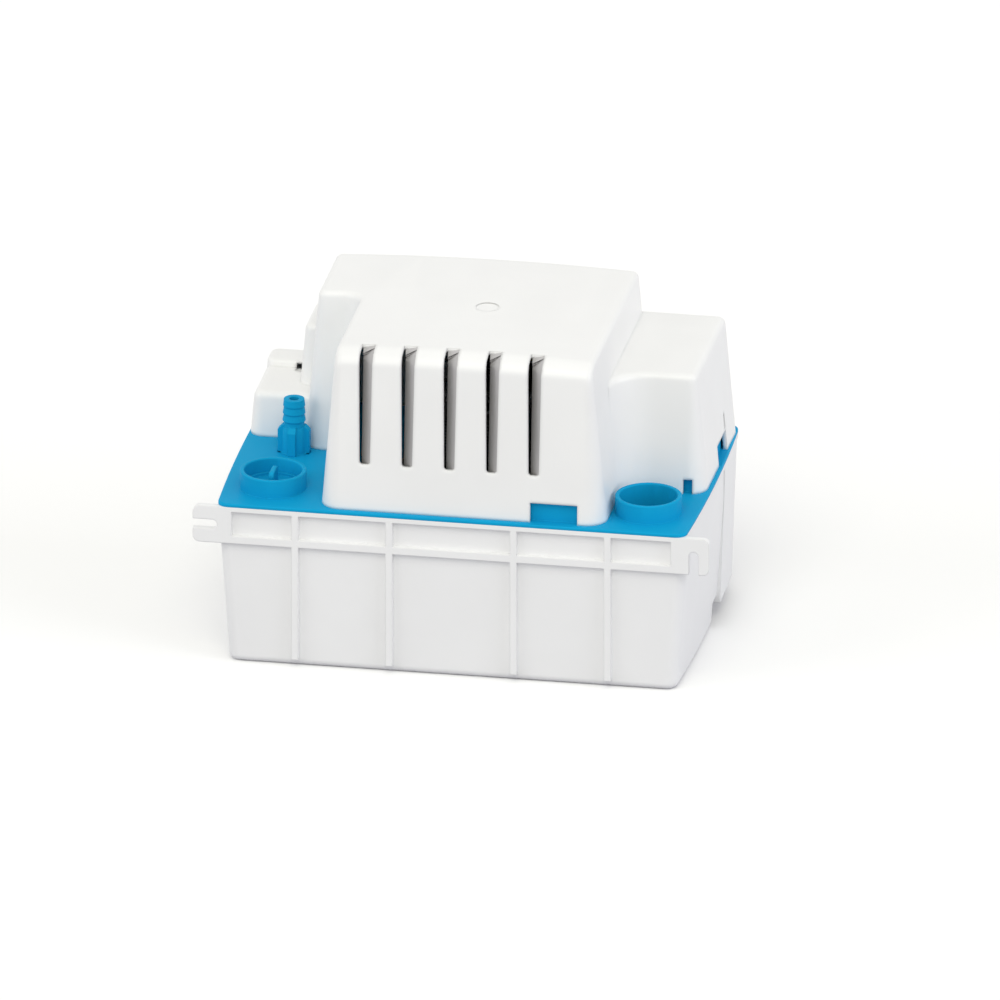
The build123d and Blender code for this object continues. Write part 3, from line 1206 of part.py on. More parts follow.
def float_guide():
    bore = STEM_DIAMETER / 2 + STEM_CLEARANCE
    outer = bore + GUIDE_WALL
    guide = rod(outer, RIM_HEIGHT - GUIDE_DEPTH, LID_TOP, FLOAT_X, FLOAT_Y)
    guide += rod(outer + GUIDE_FLANGE, LID_TOP, LID_TOP + GUIDE_FLANGE_THICKNESS, FLOAT_X, FLOAT_Y)
    return guide - rod(bore, RIM_HEIGHT - GUIDE_DEPTH, LID_TOP + GUIDE_FLANGE_THICKNESS, FLOAT_X, FLOAT_Y)


def crossbar(radius, x_low, x_high, y, z):
    """Round bar along X."""
    body = Cylinder(radius, x_high - x_low, align=(Align.CENTER, Align.CENTER, Align.MIN))
    return at(x_low, y, z, Rot(0, 90, 0) * body)


def switch_lever():
    """Two arms from a hub on the pin, inward fingers at the stem and one cam over each button."""
    inner = COLLAR_DIAMETER / 2 + ARM_GAP
    outer = inner + ARM_THICKNESS
    reach = LEVER_ARM + FINGER_DIAMETER
    lever = crossbar(HUB_DIAMETER / 2, -outer, outer, 0, 0)
    for side in (-1, 1):
        low, high = min(side * inner, side * outer), max(side * inner, side * outer)
        arm = bar(low, high, -reach, 0, -ARM_HEIGHT / 2, ARM_HEIGHT / 2)
        arm = fillet(arm.edges().filter_by(Axis.X).group_by(Axis.Y)[0], ARM_HEIGHT / 2 - 0.1)
        tip = STEM_DIAMETER / 2 + ARM_GAP
        finger_low, finger_high = min(side * tip, side * inner), max(side * tip, side * inner)
        lever += arm + crossbar(FINGER_DIAMETER / 2, finger_low, finger_high, -LEVER_ARM, 0)
    lever = Rot(SWING, 0, 0) * lever
    for x, throw in ((RUN_SWITCH_X, RUN_CAM_THROW), (SAFETY_SWITCH_X, SAFETY_CAM_THROW)):
        angle = radians(CAM_PHASE)
        y, z = throw * sin(angle), -throw * cos(angle)
        middle = x - FLOAT_X
        lever += crossbar(CAM_RADIUS, middle - CAM_WIDTH / 2, middle + CAM_WIDTH / 2, y, z)
    bore = PIN_DIAMETER / 2 + RUNNING_CLEARANCE
    lever -= crossbar(bore, -outer - CAM_WIDTH, outer + CAM_WIDTH, 0, 0)
    return at(FLOAT_X, PIVOT_Y, PIVOT_HEIGHT, lever)


def cheek_planes():
    """X of the bracket's inner faces, tight against the pair of switches."""
    return FLOAT_X - SWITCH_WIDTH, FLOAT_X + SWITCH_WIDTH


def lever_pin():
    low, high = cheek_planes()
    lap = BRACKET_THICKNESS + 1.0
    return crossbar(PIN_DIAMETER / 2, low - lap, high + lap, PIVOT_Y, PIVOT_HEIGHT)


def switch_hole_centres():
    y = PIVOT_Y
    z = SWITCH_TOP - SWITCH_HEIGHT / 2
    half_y, half_z = SWITCH_HOLE_SPACING_Y / 2, SWITCH_HOLE_SPACING_Z / 2
    return [(y - half_y, z - half_z), (y + half_y, z + half_z)]


def switch_bracket():
    """Folded sheet bracket: a foot on the lid and two cheeks round the switches."""
    top = LID_TOP + BRACKET_THICKNESS
    foot = Pos(FLOAT_X, PIVOT_Y, LID_TOP) * RectangleRounded(BRACKET_FOOT_LENGTH, BRACKET_FOOT_WIDTH, 2)
    body = extrude(foot, BRACKET_THICKNESS, dir=(0, 0, 1))
    low, high = cheek_planes()
    half = CHEEK_WIDTH / 2
    for x in (low - BRACKET_THICKNESS, high):
        cheek = bar(x, x + BRACKET_THICKNESS, PIVOT_Y - half, PIVOT_Y + half, top, CHEEK_TOP)
        body += fillet(cheek.edges().filter_by(Axis.X).group_by(Axis.Z)[-1], half / 2)
    wide = (low - 2 * BRACKET_THICKNESS, high + 2 * BRACKET_THICKNESS)
    body -= crossbar(PIN_DIAMETER / 2, *wide, PIVOT_Y, PIVOT_HEIGHT)
    for y, z in switch_hole_centres():
        body -= crossbar(SWITCH_SCREW_DIAMETER / 2, *wide, y, z)
    for x, y in bracket_screw_centres():
        body -= rod(SCREW_DIAMETER / 2, LID_TOP, top, x, y)
    return body


def bracket_screws():
    under = LID_TOP + BRACKET_THICKNESS
    length = BRACKET_THICKNESS + SCREW_GRIP - 0.5
    return [screw(x, y, under, length) for x, y in bracket_screw_centres()]


def button_y():
    return PIVOT_Y + 1.5


def micro_switch(x):
    """Snap-action switch body with two fixing holes and a well for its button."""
    low = SWITCH_TOP - SWITCH_HEIGHT
    half_x, half_y = SWITCH_WIDTH / 2, SWITCH_LENGTH / 2
    body = bar(x - half_x, x + half_x, PIVOT_Y - half_y, PIVOT_Y + half_y, low, SWITCH_TOP)
    body = chamfer(body.edges().filter_by(Axis.X), 0.8)
    for y, z in switch_hole_centres():
        body -= crossbar(SWITCH_SCREW_DIAMETER / 2, x - SWITCH_WIDTH, x + SWITCH_WIDTH, y, z)
    well = BUTTON_DIAMETER / 2 + BUTTON_CLEARANCE
    return body - rod(well, SWITCH_TOP - 5, SWITCH_TOP + 1, x, button_y())


def cam_foot(throw):
    """Lowest point of a cam at rest."""
    return PIVOT_HEIGHT - CAM_RADIUS - throw * cos(radians(CAM_PHASE))


def button(x, throw):
    top = cam_foot(throw) - BUTTON_GAP
    peg = rod(BUTTON_DIAMETER / 2, SWITCH_TOP - 3, top, x, button_y())
    return chamfer(peg.edges().group_by(Axis.Z)[-1], 0.3)


def switch_screws():
    low, high = cheek_planes()
    screws = []
    for y, z in switch_hole_centres():
        length = high - low + 2 * BRACKET_THICKNESS
        one = screw(0, 0, 0, length + 2.0, SWITCH_SCREW_DIAMETER)
        nut = extrude(Pos(0, 0, -length - 2.0) * RegularPolygon(SWITCH_SCREW_DIAMETER, 6), 2.0, dir=(0, 0, 1))
        screws.append(at(high + BRACKET_THICKNESS, y, z, Rot(0, 90, 0) * (one + nut)))
    return screws


def switch_terminals():
    """Three blade terminals under each switch."""
    top = SWITCH_TOP - SWITCH_HEIGHT
    blades = []
    for x in (RUN_SWITCH_X, SAFETY_SWITCH_X):
        for i in (-1, 0, 1):
            y = PIVOT_Y + i * SWITCH_LENGTH / 3.2
            blade = bar(0, TAB_WIDTH, 0, TAB_THICKNESS, top - TAB_LENGTH, top)
            blades.append(at(x - TAB_WIDTH / 2, y, 0, blade))
    return blades


# --------------------------------------------------------------------------------------- terminal block


def terminal_block():
    length = TERMINAL_COUNT * TERMINAL_PITCH
    half_w, half_l = BLOCK_WIDTH / 2, length / 2
    body = bar(BLOCK_X - half_w, BLOCK_X + half_w, BLOCK_Y - half_l, BLOCK_Y + half_l,
               LID_TOP, LID_TOP + BLOCK_HEIGHT)
    for i in range(1, TERMINAL_COUNT):
        y = BLOCK_Y - half_l + i * TERMINAL_PITCH
        body -= bar(BLOCK_X - half_w, BLOCK_X + half_w, y - 0.8, y + 0.8, LID_TOP + 4, LID_TOP + BLOCK_HEIGHT)
    for i in range(TERMINAL_COUNT):
        y = BLOCK_Y - half_l + (i + 0.5) * TERMINAL_PITCH
        for x in (BLOCK_X - half_w / 2, BLOCK_X + half_w / 2):
            body -= rod(2.0, LID_TOP + BLOCK_HEIGHT - 5, LID_TOP + BLOCK_HEIGHT, x, y)
    return body


def terminal_screws():
    half_w = BLOCK_WIDTH / 2
    half_l = TERMINAL_COUNT * TERMINAL_PITCH / 2
    low = LID_TOP + BLOCK_HEIGHT - 5
    pegs = []
    for i in range(TERMINAL_COUNT):
        y = BLOCK_Y - half_l + (i + 0.5) * TERMINAL_PITCH
        for x in (BLOCK_X - half_w / 2, BLOCK_X + half_w / 2):
            pegs.append(rod(1.9, low, low + 3, x, y))
    return pegs


def shading_rings():
    """Closed copper rings round one horn of each pole."""
    keep = Circle(ROTOR_RADIUS + SHADING_DEPTH) - Circle(ROTOR_RADIUS + 2 * AIR_GAP)
    return [centred(extrude(Pos(0, 0, STACK_FOOT) * (shading_slot(side) & keep), STACK_HEIGHT, dir=(0, 0, 1)))
            for side in (-1, 1)]


NODES = {
    "tank": tank,
    "lid": lid,
    "motor_cover": cover,
    "cord_bushing": cord_bushing,
    "inlet_plug": inlet_plug,
    "check_valve_body": check_valve_body,
    "check_valve_ball": check_valve_ball,
    "check_valve_seal": check_valve_seal,
    "discharge_tube": discharge_tube,
    "volute_housing": volute_housing,
    "volute_cover": volute_cover,
    "impeller": impeller,
    "column_screws": column_screws,
    "motor_shaft": motor_shaft,
    "rotor_core": rotor_core,
    "cooling_fan": cooling_fan,
    "lower_bearing": lower_bearing,
    "upper_bearing": upper_bearing,
    "lower_bracket": lower_bracket,
    "upper_bracket": upper_bracket,
    "stator_laminations": stator_laminations,
    "shading_rings": shading_rings,
    "coil_bobbin": coil_bobbin,
    "coil_winding": coil_winding,
    "stack_bolts": stack_bolts,
    "stack_spacers": stack_spacers,
    "motor_mounts": motor_mounts,
    "motor_screws": motor_screws,
    "float_block": float_block,
    "float_stem": float_stem,
    "float_guide": float_guide,
    "switch_lever": switch_lever,
    "lever_pin": lever_pin,
    "switch_bracket": switch_bracket,
    "bracket_screws": bracket_screws,
    "run_switch": lambda: micro_switch(RUN_SWITCH_X),
    "safety_switch": lambda: micro_switch(SAFETY_SWITCH_X),
    "run_button": lambda: button(RUN_SWITCH_X, RUN_CAM_THROW),
    "safety_button": lambda: button(SAFETY_SWITCH_X, SAFETY_CAM_THROW),
    "switch_screws": switch_screws,
    "switch_terminals": switch_terminals,
    "terminal_block": terminal_block,
    "terminal_screws": terminal_screws,
}

os.makedirs("parts", exist_ok=True)
for name, make in NODES.items():
    piece = make()
    if isinstance(piece, list):
        piece = Compound(children=piece)
    export_step(piece, f"parts/{name}.step")
    print(name, "solids", len(piece.solids()), "volume", round(sum(s.volume for s in piece.solids())))
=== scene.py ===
from math import cos, pi, radians, sin, tan

import bmesh
import bpy
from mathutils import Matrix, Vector


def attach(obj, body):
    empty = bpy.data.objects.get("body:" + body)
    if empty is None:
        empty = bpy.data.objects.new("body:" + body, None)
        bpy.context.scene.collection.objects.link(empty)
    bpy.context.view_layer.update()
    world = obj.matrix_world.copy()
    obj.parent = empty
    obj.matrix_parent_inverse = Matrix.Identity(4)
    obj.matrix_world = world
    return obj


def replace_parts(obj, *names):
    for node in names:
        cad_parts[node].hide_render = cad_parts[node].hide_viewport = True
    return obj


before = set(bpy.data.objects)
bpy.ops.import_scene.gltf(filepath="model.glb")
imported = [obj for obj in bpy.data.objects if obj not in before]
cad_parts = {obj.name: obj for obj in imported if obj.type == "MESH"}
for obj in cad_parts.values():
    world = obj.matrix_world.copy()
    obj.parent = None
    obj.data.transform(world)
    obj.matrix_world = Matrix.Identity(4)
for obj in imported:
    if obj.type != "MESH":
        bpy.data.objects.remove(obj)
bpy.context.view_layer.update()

MM = 0.001

# ---- View and light ----
VIEW_AZIMUTH = radians(10.4)
VIEW_ELEVATION = radians(21.9)
VIEW_WIDTH = 0.582  # metres across the picture
VIEW_AIM = Vector((0.0129, 0.0, 0.0783))
VIEW_DISTANCE = 2.0
VIEW_CLIP = 10.0
SKY_LEVEL = 0.70
LAMP_SPREAD = radians(40)
LAMPS = {  # where each broad lamp stands, its level and its tint
    "key_lamp": (Vector((0.05, -0.64, 0.766)), 0.82, (1.0, 0.99, 0.84)),
    "left_lamp": (Vector((-0.80, -0.48, 0.35)), 0.58, (0.97, 0.975, 1.0)),
    "right_lamp": (Vector((0.90, -0.25, 0.36)), 0.80, (0.90, 0.92, 1.0)),
}
FLOOR_BOUNCE = (0.48, 0.48, 0.52, 1.0)  # share of light that the floor throws back at the pump
WHITE = (1.0, 1.0, 1.0, 1.0)
FLOOR_SIZE = 12.0
MIX_A, MIX_B, MIX_RESULT = 6, 7, 2  # colour sockets of a mix node, whose names repeat for each data type

# ---- Louvre blades behind the slots of the motor cover, in millimetres ----
LOUVRE_CENTRES = [-52.1, -27.1, -2.1, 22.9, 47.9]
BLADE_RIGHT, BLADE_LEFT = 4.4, -2.8  # from the slot's middle line
BLADE_SET, BLADE_DEPTH = 0.2, 6.6  # under the cover's face at the right and at the left
BLADE_THICKNESS = 1.2
BLADE_FOOT = 123.0  # height of its lower end
# Steps along the roof: where each ends (y), how much the deep edge rises, and how much it widens to the left
BLADE_ENDS = [(-70.0, 2.6, 0.0), (-66.8, 1.8, 0.6)]
BLADE_BEND = 8.0  # radius over the edge of the roof
BEND_STEPS = 10

# ---- Motor cover, in millimetres, as in the solid ----
COVER_FOOT, COVER_FACE = 100.0, -84.5  # height of its foot, and y of its front wall there
COVER_LEAN = radians(5)
ROOF_TOP, ROOF_CROWN_X, ROOF_CROWN_RADIUS = 199.0, 8.0, 1650.0

# ---- Soft front top edge of the motor cover, in millimetres ----
EDGE_BEFORE, EDGE_AFTER = 3.5, 8.0  # radius as cut, and as moulded
EDGE_CUTS = 9
EDGE_REGION = (-60.0, 178.0)  # faces that reach in front of this and above this are divided
FRONT_FORWARD, FRONT_DROP = 4.0, 2.0  # how far the same edge stands forward and the roof falls to it
FRONT_FADE = (-67.5, -71.5, -76.0)  # from the slots' ends in the roof to the edge
MESH_MERGE = 0.01  # points this close are one
CUT_TOUCH = 0.005  # a cut this close to a point runs through it
TINY = 0.001  # lengths under this count as nothing

# ---- Shading ----
WELD = 0.00001
SMOOTH_ANGLE = radians(28)
EDGE_SAMPLES = 8
TONE_SPREAD = (0.35, 0.65)  # part of a noise that takes a colour from its low tone to its high one
DRIFT_SIZE, DRIFT_DETAIL = 45.0, 2.0  # drifts of tone in a moulding, in millimetres
GRAIN_DETAIL, GRAIN_HARSHNESS = 4.0, 0.6
PLASTIC_SHEEN, METAL_SHEEN = 0.05, 0.08  # how far roughness wanders to each side
SHEET_PITCH, SHEET_RELIEF = 2.0, 0.05  # drawn sheets of the stack, in millimetres
SHEET_WAVER = 0.3
WAVE_LENGTH = 2 * pi / 20  # of a wave texture of scale one


# ------------------------------------------------------------------------------------------- materials


def srgb(text):
    """Linear colour of an sRGB hex value."""
    parts = [int(text[i:i + 2], 16) / 255 for i in (1, 3, 5)]
    return tuple(p / 12.92 if p <= 0.04045 else ((p + 0.055) / 1.055) ** 2.4 for p in parts) + (1.0,)


def add_node(tree, kind, settings=None, **links):
    """Add a node, set its properties and inputs, and link named inputs from other sockets."""
    node = tree.nodes.new(kind)
    for key, value in (settings or {}).items():
        if key in node.inputs:
            node.inputs[key].default_value = value
        else:
            setattr(node, key, value)
    for key, socket in links.items():
        tree.links.new(socket, node.inputs[key.replace("_", " ")])
    return node


def per_mm(size):
    """Texture scale, per metre, whose features repeat about every size millimetres."""
    return 1000.0 / size


def start(name):
    """New material: itself, its tree, its shader and its object coordinates."""
    material = bpy.data.materials.new(name)
    material.use_nodes = True
    tree = material.node_tree
    shader = tree.nodes["Principled BSDF"]
    place = add_node(tree, "ShaderNodeTexCoord").outputs["Object"]
    return material, tree, shader, place


def noise(tree, place, size, detail, roughness=0.5):
    """Even noise in three dimensions, from zero to one."""
    settings = {"Scale": per_mm(size), "Detail": detail, "Roughness": roughness}
    return add_node(tree, "ShaderNodeTexNoise", settings, Vector=place).outputs["Fac"]


def shade(tree, factor, low, high):
    """Colour that drifts between two close tones."""
    ramp = add_node(tree, "ShaderNodeValToRGB", None, Fac=factor)
    for stop, position, colour in zip(ramp.color_ramp.elements, TONE_SPREAD, (low, high)):
        stop.position, stop.color = position, srgb(colour)
    return ramp.outputs["Color"]


def ranged(tree, factor, low, high):
    """Value that runs from low to high with a factor."""
    node = add_node(tree, "ShaderNodeMapRange", {"To Min": low, "To Max": high}, Value=factor)
    return node.outputs["Result"]


def uneven(tree, shader, grain, roughness, sheen):
    """Roughness that wanders a little with the grain."""
    tree.links.new(ranged(tree, grain, roughness - sheen, roughness + sheen), shader.inputs["Roughness"])


def bump(tree, shader, height, depth_mm, edge_mm=0.0):
    """Relief of the surface, over edges that the light finds rounded by a radius."""
    node = add_node(tree, "ShaderNodeBump", {"Distance": depth_mm * MM}, Height=height)
    if edge_mm:
        soft = add_node(tree, "ShaderNodeBevel", {"samples": EDGE_SAMPLES, "Radius": edge_mm * MM})
        tree.links.new(soft.outputs["Normal"], node.inputs["Normal"])
    tree.links.new(node.outputs["Normal"], shader.inputs["Normal"])


def moulded(name, low, high, roughness, grain_mm, depth_mm, gloss=0.5, edge_mm=0.0):
    """Moulded plastic: a faint drift of tone, a fine tool grain and a slightly uneven sheen."""
    material, tree, shader, place = start(name)
    drift = noise(tree, place, DRIFT_SIZE, DRIFT_DETAIL)
    tree.links.new(shade(tree, drift, low, high), shader.inputs["Base Color"])
    grain = noise(tree, place, grain_mm, GRAIN_DETAIL, GRAIN_HARSHNESS)
    uneven(tree, shader, grain, roughness, PLASTIC_SHEEN)
    bump(tree, shader, grain, depth_mm, edge_mm)
    shader.inputs["Specular IOR Level"].default_value = gloss
    return material


def metal(name, low, high, roughness, grain_mm, depth_mm):
    """Plated, cast or drawn metal: tone and sheen both follow one fine grain."""
    material, tree, shader, place = start(name)
    grain = noise(tree, place, grain_mm, GRAIN_DETAIL)
    tree.links.new(shade(tree, grain, low, high), shader.inputs["Base Color"])
    uneven(tree, shader, grain, roughness, METAL_SHEEN)
    bump(tree, shader, grain, depth_mm)
    shader.inputs["Metallic"].default_value = 1.0
    return material


def laminated(name):
    """Varnished stack of stamped sheets of 0.5 mm: level lines, drawn further apart so that they show."""
    material, tree, shader, place = start(name)
    settings = {"wave_type": "BANDS", "bands_direction": "Z", "Scale": per_mm(SHEET_PITCH) * WAVE_LENGTH,
                "Distortion": SHEET_WAVER}
    lines = add_node(tree, "ShaderNodeTexWave", settings, Vector=place).outputs["Fac"]
    tree.links.new(shade(tree, lines, "#2A2A2E", "#55565A"), shader.inputs["Base Color"])
    bump(tree, shader, lines, SHEET_RELIEF)
    shader.inputs["Roughness"].default_value = 0.42
    shader.inputs["Metallic"].default_value = 0.6
    return material


MATERIALS = {
    # ABS, injection moulded in a lightly etched tool: white, with a soft broad sheen
    "abs_white": moulded("abs_white", "#EEEEED", "#F0F0EF", 0.33, 0.9, 0.010, edge_mm=3.0),
    # The same white ABS, its colour darkened to grey as painted shade for the inside of the slots
    "abs_white_painted_slot_shade": moulded("abs_white_painted_slot_shade", "#BAB8B8", "#BEBCBC", 0.45, 0.9, 0.010),
    # Polypropylene, moulded: white and a little waxy, with a broader highlight
    "polypropylene_white": moulded("polypropylene_white", "#EDEDED", "#EFEFEF", 0.40, 1.2, 0.012,
                                   edge_mm=0.9),
    # ABS coloured blue all through, moulded: even colour and a soft sheen
    "abs_blue": moulded("abs_blue", "#0E9BCC", "#109FD0", 0.50, 0.9, 0.010, gloss=0.05, edge_mm=0.8),
    # Nylon filled with glass and carbon black: dark with a dry sheen
    "nylon_black": moulded("nylon_black", "#0E0E10", "#17171A", 0.5, 0.7, 0.02),
    # Natural acetal: creamy and smooth
    "acetal_natural": moulded("acetal_natural", "#E6E0CE", "#EDE8D8", 0.38, 1.0, 0.008),
    # Acetal dyed red: smooth button
    "acetal_red": moulded("acetal_red", "#A81912", "#B81F16", 0.35, 1.0, 0.008),
    # Nitrile rubber, moulded: black and matte
    "nitrile_rubber": moulded("nitrile_rubber", "#101010", "#1A1A1A", 0.68, 0.8, 0.02),
    # Polyester tape round the coil: yellow film
    "polyester_tape": moulded("polyester_tape", "#C79E2E", "#D2AA3A", 0.3, 3.0, 0.05),
    # Steel, zinc plated: pale grey with fine mottling
    "zinc_steel": metal("zinc_steel", "#A7AAAE", "#BCBEC2", 0.36, 1.5, 0.01),
    # Aluminium, die cast: dull grey
    "cast_aluminium": metal("cast_aluminium", "#A9AAAC", "#B8B9BB", 0.5, 1.2, 0.02),
    # Brass, stamped
    "brass": metal("brass", "#B99447", "#C9A65A", 0.34, 1.5, 0.01),
    # Copper, drawn bar
    "copper": metal("copper", "#B8714B", "#C98059", 0.36, 1.5, 0.01),
    # Bronze, sintered and oiled: darker and grainy
    "sintered_bronze": metal("sintered_bronze", "#7C5A33", "#8E6A40", 0.55, 0.6, 0.02),
    # Electrical steel, stamped, stacked and varnished
    "varnished_laminations": laminated("varnished_laminations"),
}

FINISH = {
    "abs_white": ["motor_cover"],
    "polypropylene_white": ["tank"],
    "abs_blue": ["lid", "check_valve_body", "inlet_plug"],
    "nylon_black": ["cord_bushing", "volute_housing", "volute_cover", "impeller", "cooling_fan",
                    "float_block", "float_guide", "run_switch", "safety_switch"],
    "acetal_natural": ["check_valve_ball", "coil_bobbin", "float_stem", "switch_lever", "terminal_block"],
    "acetal_red": ["run_button", "safety_button"],
    "nitrile_rubber": ["check_valve_seal", "discharge_tube", "motor_mounts"],
    "polyester_tape": ["coil_winding"],
    "zinc_steel": ["column_screws", "motor_shaft", "lower_bracket", "upper_bracket", "stack_bolts",
                   "stack_spacers", "motor_screws", "lever_pin", "switch_bracket", "bracket_screws",
                   "switch_screws"],
    "cast_aluminium": ["rotor_core"],
    "brass": ["switch_terminals", "terminal_screws"],
    "copper": ["shading_rings"],
    "sintered_bronze": ["lower_bearing", "upper_bearing"],
    "varnished_laminations": ["stator_laminations"],
}


def shade_softly(obj, material):
    """Give an object its one material and smooth shading that breaks at its real edges."""
    obj.data.materials.clear()
    obj.data.materials.append(material)
    obj.data.shade_smooth()
    split = obj.modifiers.new("edges", "EDGE_SPLIT")
    split.split_angle = SMOOTH_ANGLE
    split.use_edge_sharp = False


def finish_node(node, material):
    """Merge a CAD node's loose triangles, so that its shading can run across them."""
    node.modifiers.new("merge", "WELD").merge_threshold = WELD
    shade_softly(node, material)


for finish, names in FINISH.items():
    for name in names:
        finish_node(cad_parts[name], MATERIALS[finish])


# ------------------------------------------------------------------------------------------ motor cover


def roof_level(x):
    """Height of the crowned roof."""
    return ROOF_TOP - (x - ROOF_CROWN_X) ** 2 / (2 * ROOF_CROWN_RADIUS)


def reach_to_edge(across, up):
    """How far the cover's first outline lies from the centre of the wider rounding, along a direction."""
    if EDGE_AFTER * (1 - across / max(up, TINY)) >= EDGE_BEFORE:
        return EDGE_AFTER / up
    if EDGE_AFTER * (1 - up / max(across, TINY)) >= EDGE_BEFORE:
        return EDGE_AFTER / across
    gap = EDGE_AFTER - EDGE_BEFORE
    both = gap * (across + up)
    return both + (both ** 2 - 2 * gap ** 2 + EDGE_BEFORE ** 2) ** 0.5


def widen_edge(point):
    """Draw a point near the front top edge in towards the centre of the wider rounding."""
    wall = COVER_FACE + (point.z - COVER_FOOT) * tan(COVER_LEAN)
    inside = (point.y - wall) * cos(COVER_LEAN)
    below = roof_level(point.x) - point.z
    if inside >= EDGE_AFTER or below >= EDGE_AFTER:
        return
    span = Vector((EDGE_AFTER - inside, EDGE_AFTER - below))
    if span.length < TINY:
        return
    share = EDGE_AFTER / reach_to_edge(*(span / span.length))
    inside, below = (EDGE_AFTER - part * share for part in span)
    point.z = roof_level(point.x) - below
    point.y = COVER_FACE + (point.z - COVER_FOOT) * tan(COVER_LEAN) + inside / cos(COVER_LEAN)


def settle_front(point):
    """Bring the top of the front wall forward and let the roof's last stretch fall to it."""
    start, _, end = FRONT_FADE
    share = min(max((start - point.y) / (start - end), 0.0), 1.0)
    share *= (point.z - COVER_FOOT) / (ROOF_TOP - COVER_FOOT)
    point.y -= FRONT_FORWARD * share
    point.z -= FRONT_DROP * share * share


def cut(bm, faces, spot, normal):
    """Divide faces along a plane."""
    edges = list({e for f in faces for e in f.edges})
    verts = list({v for f in faces for v in f.verts})
    bmesh.ops.bisect_plane(bm, geom=verts + edges + faces, dist=CUT_TOUCH, plane_co=spot, plane_no=normal)


def soft_cover():
    """The louvred cover from its own mesh, with the front top edge rounded as broadly as it is moulded."""
    bm = bmesh.new()
    bm.from_mesh(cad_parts["motor_cover"].data)
    bmesh.ops.scale(bm, verts=bm.verts, vec=(1 / MM, 1 / MM, 1 / MM))
    bmesh.ops.remove_doubles(bm, verts=bm.verts, dist=MESH_MERGE)
    inward = Vector((0, cos(COVER_LEAN), -sin(COVER_LEAN)))
    upward = Vector((0, 0, 1))
    corner = Vector((0, COVER_FACE, COVER_FOOT))
    front, top = EDGE_REGION
    for step in range(1, EDGE_CUTS + 1):
        depth = EDGE_AFTER * step / EDGE_CUTS
        for spot, normal in ((corner + inward * depth, inward), (upward * (ROOF_TOP - depth), upward)):
            near = [f for f in bm.faces if any(v.co.y < front and v.co.z > top for v in f.verts)]
            cut(bm, near, spot, normal)
    for y in FRONT_FADE[:2]:
        cut(bm, bm.faces[:], (0, y, 0), (0, 1, 0))
    bmesh.ops.triangulate(bm, faces=[f for f in bm.faces if len(f.verts) > 3])
    for vert in bm.verts:
        widen_edge(vert.co)
        settle_front(vert.co)
    return bm


# ---------------------------------------------------------------------------------------------- louvres


def only(kind, geom):
    """Parts of one kind among the corners, edges and faces that an operator gives back."""
    return [part for part in geom if isinstance(part, kind)]


def louvre_blade(bm, x):
    """Blade behind one slot: up the leaning wall, over the edge in a wide bend, and back under the roof."""
    roof = roof_level(x)
    shoulder = roof - BLADE_BEND
    foot_y = COVER_FACE + (BLADE_FOOT - COVER_FOOT) * tan(COVER_LEAN)
    shoulder_y = COVER_FACE + (shoulder - COVER_FOOT) * tan(COVER_LEAN)
    section = [(BLADE_RIGHT, BLADE_SET), (BLADE_LEFT, BLADE_DEPTH),
               (BLADE_LEFT, BLADE_DEPTH + BLADE_THICKNESS), (BLADE_RIGHT, BLADE_SET + BLADE_THICKNESS)]
    corners = [bm.verts.new((x + across, foot_y + depth, BLADE_FOOT)) for across, depth in section]
    face = bm.faces.new(corners)
    up = bmesh.ops.extrude_face_region(bm, geom=[face])["geom"]
    bmesh.ops.translate(bm, verts=only(bmesh.types.BMVert, up),
                        vec=(0, shoulder_y - foot_y, shoulder - BLADE_FOOT))
    end = only(bmesh.types.BMFace, up)
    over = bmesh.ops.spin(bm, geom=end, cent=(x, shoulder_y + BLADE_BEND, shoulder), axis=(1, 0, 0),
                          angle=-pi / 2, steps=BEND_STEPS)["geom_last"]
    bmesh.ops.delete(bm, geom=end, context="FACES_ONLY")
    end = only(bmesh.types.BMFace, over)
    for y, rise, widen in BLADE_ENDS:
        here = end[0].calc_center_median().y
        back = bmesh.ops.extrude_face_region(bm, geom=end)["geom"]
        bmesh.ops.delete(bm, geom=end, context="FACES_ONLY")
        end = only(bmesh.types.BMFace, back)
        bmesh.ops.translate(bm, verts=end[0].verts, vec=(0, y - here, 0))
        deep = [v for v in end[0].verts if v.co.x < x]
        bmesh.ops.translate(bm, verts=deep, vec=(-widen, 0, rise))


def in_order(elements, place):
    """Put corners, edges or faces in the order of their places, so that each run writes them alike."""
    for index, element in enumerate(sorted(elements, key=place)):
        element.index = index
    elements.sort()


def new_object(name, data):
    obj = bpy.data.objects.new(name, data)
    bpy.context.scene.collection.objects.link(obj)
    return obj


def new_mesh(name, bm):
    mesh = bpy.data.meshes.new(name)
    bm.to_mesh(mesh)
    bm.free()
    return new_object(name, mesh)


def new_piece(name, bm, material, body):
    """Make a mesh drawn in millimetres a smooth piece that moves with a body."""
    bmesh.ops.scale(bm, verts=bm.verts, vec=(MM, MM, MM))
    obj = new_mesh(name, bm)
    shade_softly(obj, material)
    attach(obj, body)
    return obj


blades = bmesh.new()
for x in LOUVRE_CENTRES:
    louvre_blade(blades, x)
bmesh.ops.remove_doubles(blades, verts=blades.verts, dist=TINY)
bmesh.ops.recalc_face_normals(blades, faces=blades.faces)
for vert in blades.verts:
    settle_front(vert.co)
in_order(blades.verts, lambda vert: vert.co[:])
in_order(blades.edges, lambda edge: sorted(vert.co[:] for vert in edge.verts))
in_order(blades.faces, lambda face: face.calc_center_median()[:])
# The blades behind the slots take the white ABS with the slots' shade painted into its colour as grey
new_piece("louvre_blades", blades, MATERIALS["abs_white_painted_slot_shade"], "cover")
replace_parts(new_piece("soft_motor_cover", soft_cover(), MATERIALS["abs_white"], "cover"), "motor_cover")


# ----------------------------------------------------------------------------------------------- studio


def look_from(azimuth, elevation):
    """Unit vector from the object towards the camera."""
    return Vector((sin(azimuth) * cos(elevation), -cos(azimuth) * cos(elevation), sin(elevation)))


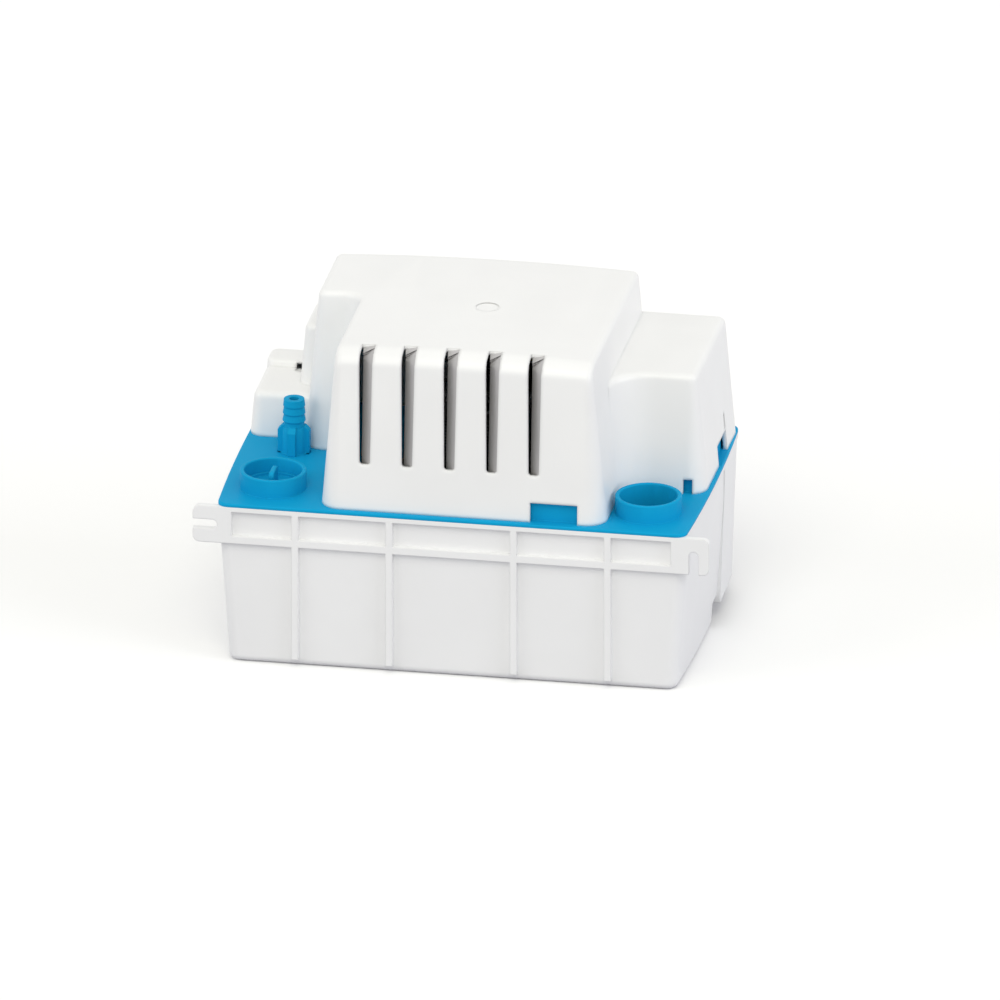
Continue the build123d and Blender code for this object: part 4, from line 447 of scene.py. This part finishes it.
def camera():
    data = bpy.data.cameras.new("camera")
    data.type = "ORTHO"
    data.ortho_scale = VIEW_WIDTH
    data.clip_end = VIEW_CLIP
    obj = new_object("camera", data)
    away = look_from(VIEW_AZIMUTH, VIEW_ELEVATION)
    obj.location = VIEW_AIM + away * VIEW_DISTANCE
    obj.rotation_euler = away.to_track_quat("Z", "Y").to_euler()
    bpy.context.scene.camera = obj


def lamp(name, stand, level, tint):
    """Broad far lamp that shines from where it stands to the origin."""
    data = bpy.data.lights.new(name, "SUN")
    data.energy = level
    data.angle = LAMP_SPREAD
    data.color = tint
    new_object(name, data).rotation_euler = stand.to_track_quat("Z", "Y").to_euler()


def seen_directly(tree):
    """One where the camera, a reflection or a refraction looks straight at a thing, and zero elsewhere."""
    path = add_node(tree, "ShaderNodeLightPath")
    seen = path.outputs["Is Camera Ray"]
    for ray in ("Is Glossy Ray", "Is Transmission Ray"):
        either = add_node(tree, "ShaderNodeMath", {"operation": "MAXIMUM"})
        tree.links.new(seen, either.inputs[0])
        tree.links.new(path.outputs[ray], either.inputs[1])
        seen = either.outputs[0]
    return seen


def sky():
    """Even white room. What the camera sees of it directly, or in gloss, is plain white."""
    world = bpy.data.worlds.new("room")
    world.use_nodes = True
    tree = world.node_tree
    tree.nodes.clear()
    level = ranged(tree, seen_directly(tree), SKY_LEVEL, 1.0)
    light = add_node(tree, "ShaderNodeBackground", {"Color": WHITE}, Strength=level)
    add_node(tree, "ShaderNodeOutputWorld", None, Surface=light.outputs["Background"])
    bpy.context.scene.world = world


def floor():
    """Sheet of paper that looks plain white and throws less light back."""
    bm = bmesh.new()
    bmesh.ops.create_grid(bm, x_segments=1, y_segments=1, size=FLOOR_SIZE / 2)
    obj = new_mesh("floor", bm)
    material, tree, shader, _ = start("floor_paper")
    paper = add_node(tree, "ShaderNodeMix", {"data_type": "RGBA"})
    tree.links.new(seen_directly(tree), paper.inputs["Factor"])
    paper.inputs[MIX_A].default_value = FLOOR_BOUNCE
    paper.inputs[MIX_B].default_value = WHITE
    tree.links.new(paper.outputs[MIX_RESULT], shader.inputs["Base Color"])
    shader.inputs["Roughness"].default_value = 1.0
    shader.inputs["Specular IOR Level"].default_value = 0.0
    obj.data.materials.append(material)


camera()
for name, (stand, level, tint) in LAMPS.items():
    lamp(name, stand, level, tint)
sky()
floor()
bpy.context.scene.view_settings.view_transform = "Standard"
